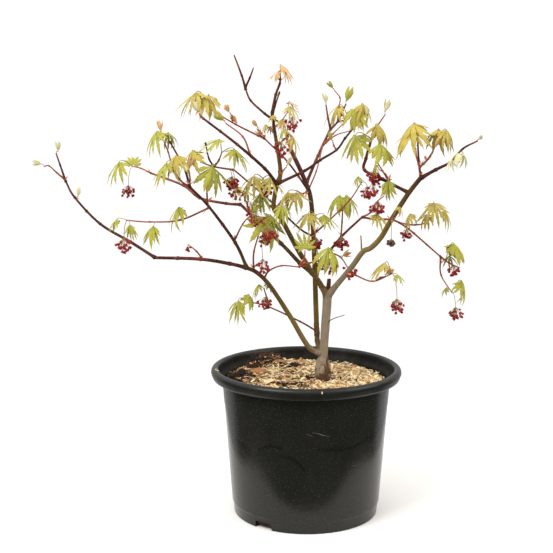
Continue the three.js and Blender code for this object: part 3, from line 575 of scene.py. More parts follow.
def tube(path, radii, sides):
    """Points, faces and shares of a closed round tube along a path."""
    path = np.asarray(path, float)
    count = len(path)
    along = np.gradient(path, axis=0)
    along /= np.linalg.norm(along, axis=1)[:, None] + 1e-12
    side = np.cross(along[0], (0.0, 0.0, 1.0) if abs(along[0][2]) < 0.9 else (1.0, 0.0, 0.0))
    turns = np.linspace(0, 2 * math.pi, sides, endpoint=False)
    points, faces = [], []
    for i in range(count):
        side = unit(side - along[i] * side.dot(along[i]))
        cross = np.cross(along[i], side)
        ring = np.cos(turns)[:, None] * side + np.sin(turns)[:, None] * cross
        points.append(path[i] + radii[i] * ring)
    points += [path[:1] - along[:1] * radii[0] * 0.4, path[-1:] + along[-1:] * radii[-1] * 0.4]
    for i in range(count - 1):
        for j in range(sides):
            k = (j + 1) % sides
            faces.append((i * sides + j, i * sides + k, (i + 1) * sides + k, (i + 1) * sides + j))
    foot, tip = count * sides, count * sides + 1
    for j in range(sides):
        k = (j + 1) % sides
        faces.append((foot, k, j))
        faces.append((tip, (count - 1) * sides + j, (count - 1) * sides + k))
    shares = np.concatenate([np.repeat(np.linspace(0, 1, count), sides), [0, 1]])
    return np.vstack(points), faces, shares


class Pile:
    """Many small shapes gathered into one mesh, with a UV map and one value at each point."""

    def __init__(self):
        self.points, self.faces, self.uvs, self.values = [], [], [], []
        self.count = 0
        self.masses = set()

    def add(self, points, faces, uvs=None, values=0.0, mass=None):
        """Adds one shape, and the mass of the solids that it belongs to."""
        size = len(points)
        self.points.append(points)
        self.faces.extend(tuple(self.count + i for i in face) for face in faces)
        self.uvs.append(np.zeros((size, 2)) if uvs is None else uvs)
        self.values.append(np.broadcast_to(np.asarray(values, float), (size,)))
        self.count += size
        if mass:
            self.masses.add("shoot_" + mass)

    def build(self, name, material, slot, sharp, value_name=None):
        """Makes the mesh, rides it on the body and hides the solids it stands for."""
        if not self.count:
            raise RuntimeError(f"{name} has nothing in it")
        mesh = bpy.data.meshes.new(name)
        mesh.from_pydata(np.vstack(self.points).tolist(), [], self.faces)
        corners = np.empty(len(mesh.loops), dtype=np.int32)
        mesh.loops.foreach_get("vertex_index", corners)
        layer = mesh.uv_layers.new(name="UVMap")
        layer.data.foreach_set("uv", np.vstack(self.uvs)[corners].astype(np.float32).ravel())
        if value_name:
            set_values(mesh, value_name, np.concatenate(self.values))
        mesh.shade_smooth()
        mesh.set_sharp_from_angle(angle=math.radians(sharp))
        mesh.validate()
        obj = bpy.data.objects.new(name, mesh)
        bpy.context.scene.collection.objects.link(obj)
        mesh.materials.append(material)
        settle(obj, sorted(self.masses))


def settle(obj, nodes=()):
    """Rides a piece on the plant's body and hides the solids it stands for."""
    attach(obj, BODY)
    if nodes:
        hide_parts(*nodes)


def only(obj):
    """Selects this object alone."""
    bpy.ops.object.select_all(action="DESELECT")
    obj.select_set(True)
    bpy.context.view_layer.objects.active = obj


def edit_mode(on):
    """Enters or leaves edit mode."""
    bpy.ops.object.mode_set(mode="EDIT" if on else "OBJECT")


def apply_modifier(obj, kind, **values):
    """Adds a modifier with these values and applies it."""
    only(obj)
    bpy.ops.object.modifier_add(type=kind)
    modifier = obj.modifiers[-1]
    for key, value in values.items():
        setattr(modifier, key, value)
    bpy.ops.object.modifier_apply(modifier=modifier.name)


def get_points(mesh, key="co"):
    """The places of a mesh's points, or their normals."""
    points = np.empty(len(mesh.vertices) * 3, dtype=np.float32)
    mesh.vertices.foreach_get(key, points)
    return points.reshape(-1, 3).astype(float)


def set_points(mesh, points):
    """Moves a mesh's points."""
    mesh.vertices.foreach_set("co", np.asarray(points, dtype=np.float32).ravel())
    mesh.update()


def set_values(mesh, name, values):
    """Keeps one number at each point, for the material to read."""
    held = mesh.attributes.new(name, "FLOAT", "POINT")
    held.data.foreach_set("value", np.asarray(values, dtype=np.float32))


# helpers for materials

def node(tree, kind, inputs=None, **settings):
    """Adds a node. An input's value is a number, a colour or another node's output."""
    made = tree.nodes.new(kind)
    for key, value in settings.items():
        setattr(made, key, value)
    for key, value in (inputs or {}).items():
        socket = made.inputs[key]
        if isinstance(value, bpy.types.NodeSocket):
            tree.links.new(value, socket)
        else:
            socket.default_value = value
    return made


def reckon(tree, operation, *values, clamped=False):
    """A number worked out from others."""
    made = node(tree, "ShaderNodeMath", dict(enumerate(values)), operation=operation, use_clamp=clamped)
    return made.outputs[0]


def scaled(tree, value, by, add=0.0):
    """A mask times a number, plus another."""
    return reckon(tree, "MULTIPLY_ADD", value, by, add)


def ranged(tree, value, low, high, bottom=0.0, top=1.0):
    """A value between low and high, spread from bottom to top."""
    made = node(tree, "ShaderNodeMapRange", {
        "Value": value, "From Min": low, "From Max": high, "To Min": bottom, "To Max": top})
    return made.outputs[0]


def attribute(tree, name):
    """The number that each point of a mesh keeps under this name."""
    return node(tree, "ShaderNodeAttribute", attribute_name=name).outputs["Fac"]


def new_group(name, inputs):
    """An empty node group with number inputs and one mask output."""
    tree = bpy.data.node_groups.new(name, "ShaderNodeTree")
    for label, value in inputs:
        tree.interface.new_socket(label, in_out="INPUT", socket_type="NodeSocketFloat").default_value = value
    tree.interface.new_socket("Mask", in_out="OUTPUT", socket_type="NodeSocketFloat")
    return tree, tree.nodes.new("NodeGroupInput"), tree.nodes.new("NodeGroupOutput")


def mottle_group():
    """Soft clouds of light and dark, stretched upright by Stretch."""
    if "Mottle" in bpy.data.node_groups:
        return bpy.data.node_groups["Mottle"]
    tree, given, out = new_group("Mottle", [("Scale", 40), ("Stretch", 1), ("Low", 0.4), ("High", 0.6)])
    place = node(tree, "ShaderNodeTexCoord").outputs["Object"]
    split = node(tree, "ShaderNodeSeparateXYZ", {0: place})
    upright = reckon(tree, "DIVIDE", split.outputs["Z"], given.outputs["Stretch"])
    joined = node(tree, "ShaderNodeCombineXYZ", {
        "X": split.outputs["X"], "Y": split.outputs["Y"], "Z": upright})
    clouds = node(tree, "ShaderNodeTexNoise", {
        "Vector": joined.outputs[0], "Scale": given.outputs["Scale"], "Detail": 4, "Roughness": 0.6})
    mask = ranged(tree, clouds.outputs["Fac"], given.outputs["Low"], given.outputs["High"])
    tree.links.new(mask, out.inputs["Mask"])
    return tree


def speck_group():
    """Scattered small specks: Share is how much of the surface they take."""
    if "Specks" in bpy.data.node_groups:
        return bpy.data.node_groups["Specks"]
    tree, given, out = new_group("Specks", [("Scale", 300), ("Share", 0.2)])
    place = node(tree, "ShaderNodeTexCoord").outputs["Object"]
    cells = node(tree, "ShaderNodeTexVoronoi", {"Vector": place, "Scale": given.outputs["Scale"]})
    inner = reckon(tree, "MULTIPLY", given.outputs["Share"], 0.6)
    mask = ranged(tree, cells.outputs["Distance"], given.outputs["Share"], inner)
    tree.links.new(mask, out.inputs["Mask"])
    return tree


def use_group(tree, group, **inputs):
    """Places a node group with these values and gives its mask."""
    return node(tree, "ShaderNodeGroup", inputs, node_tree=group).outputs["Mask"]


def mottle(tree, scale, stretch, low, high):
    """A mask of soft clouds."""
    return use_group(tree, mottle_group(), Scale=scale, Stretch=stretch, Low=low, High=high)


def new_material(name, roughness, specular):
    """A material with a plain shader, and its tree and shader."""
    material = bpy.data.materials.new(name)
    material.use_nodes = True
    tree = material.node_tree
    shader = tree.nodes["Principled BSDF"]
    shader.inputs["Roughness"].default_value = roughness
    shader.inputs["Specular IOR Level"].default_value = specular
    return material, tree, shader


def paint(tree, shader, colour):
    """Feeds a colour to the shader."""
    tree.links.new(colour, shader.inputs["Base Color"])


def shade(colour, by):
    """A colour made lighter or darker, as red, green, blue and full cover."""
    return tuple(min(1.0, c * by) for c in colour) + (1.0,)


def blend(tree, share, first, second, mode="MIX"):
    """Mixes two colours."""
    inputs = {0: share, 6: first, 7: second}
    return node(tree, "ShaderNodeMix", inputs, data_type="RGBA", blend_type=mode).outputs[2]


def bump(tree, shader, height, depth, strength=1.0):
    """Feeds a height to the shader's normal."""
    made = node(tree, "ShaderNodeBump", {"Height": height, "Distance": depth, "Strength": strength})
    tree.links.new(made.outputs[0], shader.inputs["Normal"])


def inside_material():
    """Dull black plastic painted darker than the outside, as shade inside the pot, with a film of soil."""
    looks = bpy.context.scene.maple_pot
    material, tree, shader = new_material("soiled_plastic", 0.45, 0.12)
    clouds = mottle(tree, 60, 1, 0.4, 0.8)
    film = shade(bpy.context.scene.maple_mulch.soil, 1.6)
    # painted shade: a darker copy of the pot's plastic colour inside the pot; the soil film is real dirt
    colour = blend(tree, scaled(tree, clouds, 0.5), shade(looks.colour, 0.6), film)
    paint(tree, shader, colour)
    return material


def plastic_material():
    """Satin black plastic with dry dust, a faint upright streak and painted shade along its creases."""
    looks = bpy.context.scene.maple_pot
    material, tree, shader = new_material("black_plastic", 0.2, 0.3)
    clouds = mottle(tree, 18, 2.2, 0.42, 0.78)
    fine = mottle(tree, 900, 1, 0.3, 0.7)
    specks = use_group(tree, speck_group(), Scale=300, Share=0.17)
    cover = reckon(tree, "MAXIMUM", scaled(tree, clouds, looks.dustiness), scaled(tree, specks, 0.8))
    colour = blend(tree, cover, shade(looks.colour, 1), shade(looks.dust, 1))
    # painted shade: the creases are painted nearly black, as shadow
    colour = blend(tree, attribute(tree, "pressed"), colour, shade(looks.colour, 0.2))
    paint(tree, shader, colour)
    place = node(tree, "ShaderNodeTexCoord").outputs["Object"]
    height = node(tree, "ShaderNodeSeparateXYZ", {0: place}).outputs["Z"]
    rim_foot = MM * (POT_HEIGHT - RIM_DEPTH)
    rim = ranged(tree, height, rim_foot - MM, rim_foot + 3 * MM, 0.2, 0.3)
    tree.links.new(reckon(tree, "ADD", rim, scaled(tree, cover, 0.35)), shader.inputs["Roughness"])
    bump(tree, shader, fine, 0.0002, 0.1)
    return material


def scuff_material():
    """Pale bruised plastic and dry flecks."""
    looks = bpy.context.scene.maple_pot
    material, tree, shader = new_material("scuffed_plastic", 0.7, 0.3)
    clouds = mottle(tree, 400, 1, 0.35, 0.65)
    colour = blend(tree, clouds, shade(looks.dust, 1), shade(looks.dust, 2))
    paint(tree, shader, colour)
    return material


def soil_material():
    """Dark crumbly potting mix."""
    looks = bpy.context.scene.maple_mulch
    material, tree, shader = new_material("potting_soil", 0.95, 0.15)
    clouds = mottle(tree, 160, 1, 0.3, 0.7)
    fine = mottle(tree, 700, 1, 0.3, 0.7)
    colour = blend(tree, clouds, shade(looks.soil, 0.55), shade(looks.soil, 1.6))
    paint(tree, shader, colour)
    bump(tree, shader, fine, 0.0008)
    return material


def wood_material(name, colour):
    """Dry split wood with grain along each chip."""
    material, tree, shader = new_material(name, 0.8, 0.2)
    place = node(tree, "ShaderNodeUVMap", uv_map="UVMap").outputs[0]
    across = node(tree, "ShaderNodeMapping", {"Vector": place, "Scale": (2.0, 40.0, 1.0)})
    grain = node(tree, "ShaderNodeTexNoise", {"Vector": across.outputs[0], "Scale": 1.0, "Detail": 3})
    clouds = mottle(tree, 90, 1, 0.35, 0.65)
    toned = blend(tree, clouds, shade(colour, 0.74), shade(colour, 1.2))
    lined = blend(tree, scaled(tree, grain.outputs["Fac"], 0.45), toned, shade(colour, 0.6))
    paint(tree, shader, lined)
    bump(tree, shader, grain.outputs["Fac"], 0.0003)
    return material


def bark_material():
    """Bark coloured by age: green stalks, red shoots, dark limbs, olive boughs and a grey trunk."""
    looks = bpy.context.scene.maple_bark
    material, tree, shader = new_material("maple_bark", 0.75, 0.12)
    streaks = mottle(tree, 260, 7, 0.32, 0.68)
    clouds = mottle(tree, 55, 2, 0.35, 0.65)
    specks = use_group(tree, speck_group(), Scale=420, Share=0.22)
    worn = reckon(tree, "ADD", scaled(tree, clouds, 0.1, -0.05), attribute(tree, "age"))
    ramp = node(tree, "ShaderNodeValToRGB", {"Fac": worn})
    stops = ramp.color_ramp.elements
    stops[0].position, stops[1].position = 0.04, 0.98
    stops[0].color, stops[1].color = shade(looks.stalk, 1), shade(looks.old, 1)
    for place, colour in ((0.24, looks.shoot), (0.45, looks.dark), (0.7, looks.olive)):
        stops.new(place).color = shade(colour, 1)
    deep = blend(tree, 1.0, ramp.outputs["Color"], (0.55, 0.5, 0.46, 1), "MULTIPLY")
    streaked = blend(tree, scaled(tree, streaks, 0.55), ramp.outputs["Color"], deep)
    dotted = blend(tree, scaled(tree, specks, 0.2), streaked, (0.45, 0.36, 0.26, 1))
    scar = attribute(tree, "scar")
    pale = reckon(tree, "MULTIPLY", scar, 0.7, clamped=True)
    split = reckon(tree, "MULTIPLY", scar, -0.8, clamped=True)
    healed = blend(tree, pale, dotted, shade(looks.old, 1.2))
    healed = blend(tree, split, healed, shade(looks.soiled, 1))
    paint(tree, shader, healed)
    bump(tree, shader, streaks, 0.0005, 0.6)
    return material


def leaf_material(name, colour, tip):
    """A thin leaf: a paler vein down each lobe, side veins and warmer tips."""
    material, tree, shader = new_material(name, 0.6, 0.15)
    place = node(tree, "ShaderNodeUVMap", uv_map="UVMap").outputs[0]
    split = node(tree, "ShaderNodeSeparateXYZ", {0: place})
    across, along = split.outputs["X"], split.outputs["Y"]
    off = reckon(tree, "ABSOLUTE", reckon(tree, "SUBTRACT", across, 0.5))
    rib = ranged(tree, off, 0.09, 0.02)
    slant = scaled(tree, along, 16.0, scaled(tree, off, -9.0))
    side = ranged(tree, reckon(tree, "PINGPONG", slant, 1.0), 0.18, 0.0)
    clouds = mottle(tree, 70, 1, 0.35, 0.65)
    toned = blend(tree, clouds, shade(colour, 0.86), shade(colour, 1.14))
    warm = blend(tree, scaled(tree, ranged(tree, along, 0.35, 1.0), 0.35), toned, shade(tip, 1))
    ribs = reckon(tree, "MAXIMUM", rib, scaled(tree, side, 0.4))
    hem = ranged(tree, off, 0.3, 0.5)
    hemmed = blend(tree, scaled(tree, hem, 0.25), warm, (0.3, 0.14, 0.03, 1))
    veined = blend(tree, scaled(tree, ribs, 0.22), hemmed, shade(tuple(0.55 * c + 0.3 for c in colour), 0.9))
    paint(tree, shader, veined)
    bump(tree, shader, ribs, 0.0003, 0.5)
    return material


def petal_material(name, colour, spread):
    """Petals with a soft change of tone."""
    material, tree, shader = new_material(name, 0.5, 0.15)
    clouds = mottle(tree, 240, 1, 0.35, 0.65)
    toned = blend(tree, clouds, shade(colour, 1 - spread), shade(colour, 1 + 2 * spread))
    paint(tree, shader, toned)
    return material


# the plant, grown by the rule of its solids

class Plant:
    """Every line of the plant, and what grows on it."""

    def __init__(self):
        self.lines = {"trunk": Line(MM * np.array(TRUNK_FOOT), TRUNK_LEGS)}
        self.twigs, self.leaves, self.clusters, self.stubs = [], [], [], []
        for name, parent, at, _, _, _, _, legs in LIMBS:
            self.lines[name] = Line(self.lines[parent].at(at), legs)
        for limb, at, radius, age, legs in STUBS:
            self.stubs.append((Line(self.lines[limb].at(at), legs), radius, age))
        for row in SHOOTS:
            self.add_shoot(False, *row)
        for row in FINE_SHOOTS:
            self.add_shoot(True, *row)

    def add_shoot(self, fine, mass, name, parent, at, legs, leaves=(), clusters=(), seed=1, tint=None):
        """Grows one shoot and places its leaves and flower clusters."""
        draw = seeded(seed)
        line = Line(self.lines[parent].at(at), legs)
        self.lines[name] = line
        self.twigs.append({
            "mass": mass, "name": name, "line": line, "fine": fine, "living": bool(leaves or clusters),
            "grown": any(leaf[1] >= GROWN_LEAF for leaf in leaves),
        })
        last = 1 - TWIG_TIP * MM / line.length
        for leaf in leaves:
            made = place_leaf(mass, line.at(min(leaf[0], last)), leaf, draw, tint)
            if leaf[3] is BUD:
                turn_bud(made, line.at(leaf[0]) - line.at(leaf[0] - 0.05))
            self.leaves.append(made)
        for cluster in clusters:
            self.clusters.append(place_cluster(mass, line.at(min(cluster[0], last)), cluster, draw))


def place_leaf(mass, foot, row, draw, tint):
    """Where one leaf hangs, by the same draws as in the solids."""
    size, heading, carriage = row[1] * MM, row[2], row[3]
    share, climb, tilt, droop = carriage[:4]
    turned = heading + (next(draw) - 0.5) * 36
    rise = climb + (next(draw) - 0.5) * 26
    length = size * share * (0.8 + 0.4 * next(draw))
    lean = tilt + (next(draw) - 0.5) * 22
    fall = droop + (next(draw) - 0.5) * 16
    way = direction(turned, rise)
    return {
        "mass": mass, "foot": foot, "way": way, "length": length, "tip": foot + way * length, "size": size,
        "out": direction(turned, -lean), "up": direction(turned, 90 - lean), "fall": fall,
        "carriage": carriage, "lobes": 7 if row[1] < SMALL_LEAF else 9,
        "tint": row[4] if len(row) > 4 else tint,
        "seed": int(turned * 97 + rise * 131) % 100003,
    }


def turn_bud(leaf, shoot):
    """Turns an opening bud so that it leans the way its shoot grows."""
    leaf["up"] = -unit(unit(shoot) + leaf["way"])
    leaf["out"] = unit(np.cross(leaf["up"], (0, 1, 0)))


def place_cluster(mass, foot, row, draw):
    """Where one flower cluster hangs, by the same draws as in the solids."""
    _, hang, flowers, heading = row
    turned = heading + (next(draw) - 0.5) * 40
    end = foot + direction(turned, 0) * 9 * MM * (0.8 + 0.4 * next(draw)) - np.array((0, 0, hang * MM))
    lengths = [15 * MM * (0.75 + 0.4 * next(draw)) for _ in range(flowers)]
    return {
        "mass": mass, "foot": foot, "end": end, "lengths": lengths, "turn": next(draw) * 360,
        "hang": hang * MM, "seed": int(turned * 53 + flowers * 17) % 100003,
    }


def lobe(turn, half, length, fused, size, fall, style, draws):
    """One lobe of a leaf as a thin closed shell: points as (out, side, up), faces and UVs."""
    bulge, fold, teeth, steep, bend = style
    fused = min(fused, 0.55 * length)
    stations = [(0.5 * fused, None), (fused, None), (fused + 0.07 * (length - fused), 0.82)]
    for k in range(teeth):
        share = 0.24 + 0.62 * k / max(1, teeth - 0.4)
        stations.append((fused + share * (length - fused), 1.14))
        stations.append((fused + (share + 0.07) * (length - fused), 0.84))
    if not teeth:
        stations += [(fused + share * (length - fused), 1.0) for share in (0.35, 0.65, 0.85)]
    sag = draws.normal(4, 9)
    lean = math.radians(draws.normal(0, 10))
    out = rise = along = 0.0
    root = fused * math.sin(half)
    thick = 0.011 * size
    columns = []
    for place, widen in stations + [(length, 0.0)]:
        free = max(0.0, (place - fused) / (length - fused))
        middle = 0.5 * (place + along)
        tilt = math.radians(fall * (steep + bend * middle / size) + sag * free)
        out += (place - along) * math.cos(tilt)
        rise -= (place - along) * math.sin(tilt)
        along = place
        spin = turn + lean * free * free
        ahead = np.array((math.cos(spin), math.sin(spin), 0.0))
        left = np.array((-math.sin(spin), math.cos(spin), 0.0))
        normal = np.array((0, 0, math.cos(tilt))) + ahead * math.sin(tilt)
        centre = ahead * out + np.array((0, 0, rise))
        v = place / length
        if widen == 0.0:
            columns.append((centre, v))
            break
        if widen is None:
            width = out * math.sin(half)
            edge = ahead * (out * math.cos(half)) + np.array((0, 0, rise))
        else:
            width = widen * (root * (1 - free) ** 0.85 + bulge * size * math.sin(math.pi * free ** 0.85))
            edge = centre
        drop = normal * fold * width
        half_thick = normal * 0.5 * thick * (1 - 0.8 * v)
        across = left * width
        columns.append((
            edge + across - drop, centre + half_thick, centre - half_thick, edge - across - drop, v))
    points, uvs = [np.zeros(3)], [(0.5, 0.0)]
    for column in columns[:-1]:
        points.extend(column[:4])
        uvs.extend([(0.0, column[4]), (0.5, column[4]), (0.5, column[4]), (1.0, column[4])])
    points.append(columns[-1][0])
    uvs.append((0.5, 1.0))
    faces = [(0, 2, 1), (0, 4, 2), (0, 1, 3), (0, 3, 4)]
    for j in range(len(columns) - 2):
        a, b = 1 + 4 * j, 5 + 4 * j
        faces += [(a + 1, b + 1, b, a), (a + 3, b + 3, b + 1, a + 1)]
        faces += [(a, b, b + 2, a + 2), (a + 2, b + 2, b + 3, a + 3)]
    a, end = 1 + 4 * (len(columns) - 2), len(points) - 1
    faces += [(a + 1, end, a), (a + 3, end, a + 1), (a, end, a + 2), (a + 2, end, a + 3)]
    return np.array(points), faces, np.array(uvs)


def add_leaf(pile, leaf):
    """Adds one leaf's blade to a pile, lobe by lobe."""
    draws = np.random.default_rng(leaf["seed"])
    fan, fused_share, bulge, fold, teeth = leaf["carriage"][4:]
    bud = leaf["carriage"] is BUD
    lobes = 5 if bud else leaf["lobes"] + 2
    spacing = math.radians(fan * draws.uniform(0.88, 1.12) / (lobes - 1))
    size = leaf["size"] * (BUD_GROWTH if bud else LEAF_GROWTH)
    rise = (0.62, 0.62) if bud else (0.5, 0.95)
    fused = fused_share * size * draws.uniform(0.8, 1.2)
    side = np.cross(leaf["up"], leaf["out"])
    basis = np.vstack([leaf["out"], side, leaf["up"]])
    for k in range(lobes):
        turn = (k - (lobes - 1) / 2) * spacing
        share = 1.0 if bud else float(np.interp(abs(2 * k / (lobes - 1) - 1), LOBE_STEPS, LOBE_SHARES))
        length = size * share * draws.uniform(0.88, 1.1)
        fall = leaf["fall"] * (1.25 if bud else 1) + draws.normal(0, 7)
        style = (bulge, fold, teeth if share > 0.5 else 2, *rise)
        points, faces, uvs = lobe(turn, spacing / 2, length, fused, size, fall, style, draws)
        pile.add(leaf["tip"] + points @ basis, faces, uvs, mass=leaf["mass"])


def add_strap(pile, foot, way, length, width, curl, mass):
    """Adds a narrow bud scale that curls away from its shoot."""
    side = unit(np.cross(way, (0, 0, 1)))
    up = np.cross(side, way)
    shares = np.array((0.0, 0.35, 0.7, 1.0))
    spine = [foot + way * length * s - up * curl * length * s * s for s in shares]
    widths = (0.35 * width, width, 0.8 * width)
    thick = up * 0.12 * width
    points = []
    for place, wide in zip(spine, widths):
        points += [place + side * wide, place + thick, place - thick, place - side * wide]
    points.append(spine[3])
    faces = [(0, 1, 3), (0, 3, 2)]
    for a, b in ((0, 4), (4, 8)):
        faces += [(a, b, b + 1, a + 1), (a + 1, b + 1, b + 3, a + 3)]
        faces += [(a + 2, b + 2, b, a), (a + 3, b + 3, b + 2, a + 2)]
    faces += [(8, 12, 9), (9, 12, 11), (10, 12, 8), (11, 12, 10)]
    uvs = np.array([(0.5, s) for s in np.repeat(shares[:3], 4)] + [(0.5, 1.0)])
    pile.add(np.array(points), faces, uvs, mass=mass)


def add_flower(pile, centre, way, size, mass, draws):
    """Adds one small cupped flower: five petals round a seed case."""
    first = unit(np.cross(way, (1, 0, 0) if abs(way[0]) < 0.8 else (0, 1, 0)))
    second = np.cross(way, first)
    start = draws.uniform(0, 2 * math.pi)
    for k in range(5):
        angle = start + 2 * math.pi * k / 5 + draws.normal(0, 0.12)
        out = math.cos(angle) * first + math.sin(angle) * second
        side = np.cross(way, out)
        spread = draws.uniform(0.55, 1.0)
        middle = centre + size * (0.5 * way + 0.55 * spread * out)
        end = centre + size * (1.05 * way + 0.8 * spread * out)
        wide = 0.42 * size * side
        thick = 0.07 * size * (out - 0.4 * way)
        points = np.array([centre, middle + wide, middle - wide, end, middle + thick, middle - thick])
        faces = [(0, 1, 4), (0, 4, 2), (1, 3, 4), (4, 3, 2), (0, 5, 1), (0, 2, 5), (1, 5, 3), (5, 2, 3)]
        pile.add(points, faces, mass=mass)
    along = centre + np.array((-0.25, -0.05, 0.35, 0.75, 0.95))[:, None] * size * way
    points, faces, _ = tube(along, size * np.array((0.12, 0.42, 0.52, 0.4, 0.1)), 7)
    pile.add(points, faces, mass=mass)


@cache
def grown_plant():
    """The plant, worked out once for all the operators."""
    return Plant()


def limb_radius(name, share, length):
    """A limb's bare radius in metres."""
    if name == "trunk":
        flare = FLARE_RADIUS / (1 + math.exp((share * length / MM - FLARE_LENGTH) / FLARE_FADE))
        return MM * (TRUNK_RADIUS + flare + KNOB_RADIUS * share ** 8)
    first, last = LIMB_ROWS[name][3:5]
    return MM * (first + (last - first) * share)


def limb_age(name, share):
    """The age of a limb's bark, which is older at the foot of a bough."""
    if name == "trunk":
        return 1.0
    first, last = LIMB_ROWS[name][5:7]
    return first + (last - first) * share + 0.22 * (name in BOUGHS) * math.exp(-11 * share)


# pot

def wall_radius(height):
    """The outer radius of the wall at a height, in millimetres."""
    foot = BASE_RADIUS + WALL
    slope = (NECK_RADIUS - foot) / (POT_HEIGHT - RIM_DEPTH - FOOT_HEIGHT)
    return foot + slope * (height - FOOT_HEIGHT)


def pot_profile():
    """The pot's section as radius and height, in metres, from its underside round to its floor."""
    foot = BASE_RADIUS + WALL
    rim_foot = POT_HEIGHT - RIM_DEPTH
    inside = RIM_RADIUS - RIM_WIDTH
    outer = [
        (BASE_RADIUS - 2, 0), (BASE_RADIUS - 0.5, 0.5), (BASE_RADIUS, 2),
        (BASE_RADIUS + 1, FOOT_HEIGHT - 3), (BASE_RADIUS + 1.6, FOOT_HEIGHT - 1.2), (foot, FOOT_HEIGHT)]
    heights = np.linspace(FOOT_HEIGHT, rim_foot, 84)[1:]
    outer += [(wall_radius(z), z) for z in heights]
    bead = smooth_line([
        (NECK_RADIUS + 0.4, rim_foot + 0.6), (RIM_RADIUS - 6, rim_foot + 1.2),
        (RIM_RADIUS - 3.2, rim_foot + 3.4), (RIM_RADIUS - 1, rim_foot + 9), (RIM_RADIUS, POT_HEIGHT - 8),
        (RIM_RADIUS - 1.8, POT_HEIGHT - 2.8), (RIM_RADIUS - RIM_WIDTH / 2, POT_HEIGHT),
        (inside + 1.8, POT_HEIGHT - 1.8), (inside, POT_HEIGHT - 6), (inside - 3, rim_foot + 6),
        (NECK_RADIUS - WALL, rim_foot - 2)], 4)
    inner = [(wall_radius(z) - WALL, z) for z in heights[::-4][1:]]
    inner += [(foot - WALL, FOOT_HEIGHT), (BASE_RADIUS - WALL, FLOOR + 1), (BASE_RADIUS - WALL - 1, FLOOR)]
    return MM * np.vstack([[(0, 0), (60, 0)], outer, bead, inner, [(60, FLOOR), (0, FLOOR)]])


def wall_point(heading, height):
    """A point on the outside of the wall, in metres, from degrees and millimetres."""
    return MM * (wall_radius(height) * direction(heading, 0) + (0, 0, height))


def crease_gap(points, line):
    """How far each point lies from a crease, in millimetres round and up the wall."""
    heading = np.arctan2(points[:, 1], points[:, 0]) % (2 * math.pi)
    radius = np.hypot(points[:, 0], points[:, 1]) / MM
    gaps = []
    for turn, height in smooth_line(line, 8):
        gaps.append(np.hypot((heading - math.radians(turn)) * radius, points[:, 2] / MM - height))
    return np.min(gaps, axis=0)


def wall_shift(points):
    """How far the moulded wall wanders in or out at each point: soft waves, dents and creases."""
    heading = np.degrees(np.arctan2(points[:, 1], points[:, 0])) % 360
    height = points[:, 2] / MM
    radius = np.hypot(points[:, 0], points[:, 1]) / MM
    waves = np.array([noise.noise(Vector(p) * 9) for p in points])
    free = np.clip((height - 10) / 40, 0, 1) * np.clip((POT_HEIGHT - RIM_DEPTH - height) / 30, 0, 1)
    shift = bpy.context.scene.maple_pot.flute * waves
    for turn, z, depth, wide, tall in DENTS:
        off = (heading - turn + 180) % 360 - 180
        shift = shift - MM * depth * np.exp(-(off / wide) ** 2 - ((height - z) / tall) ** 2)
    for line, depth, wide in CREASES:
        shift = shift - MM * depth * np.exp(-(crease_gap(points, line) / wide) ** 2)
    return shift * free * (radius > BASE_RADIUS - 10)


def on_wall(points):
    """Points of the plain wall, moved in or out with the moulded one."""
    radius = np.hypot(points[:, 0], points[:, 1]) + 1e-9
    moved = points.copy()
    moved[:, :2] *= (1 + wall_shift(points) / radius)[:, None]
    return moved


def is_inside(place):
    """Whether a face of the pot with its middle here, in millimetres, looks into the pot."""
    x, y, z = place
    edge = wall_radius(z) - 0.5 * WALL if z < POT_HEIGHT - RIM_DEPTH else RIM_RADIUS - RIM_WIDTH
    if z < FOOT_HEIGHT:
        edge -= 2
    return FLOOR / 2 < z and math.hypot(x, y) < edge


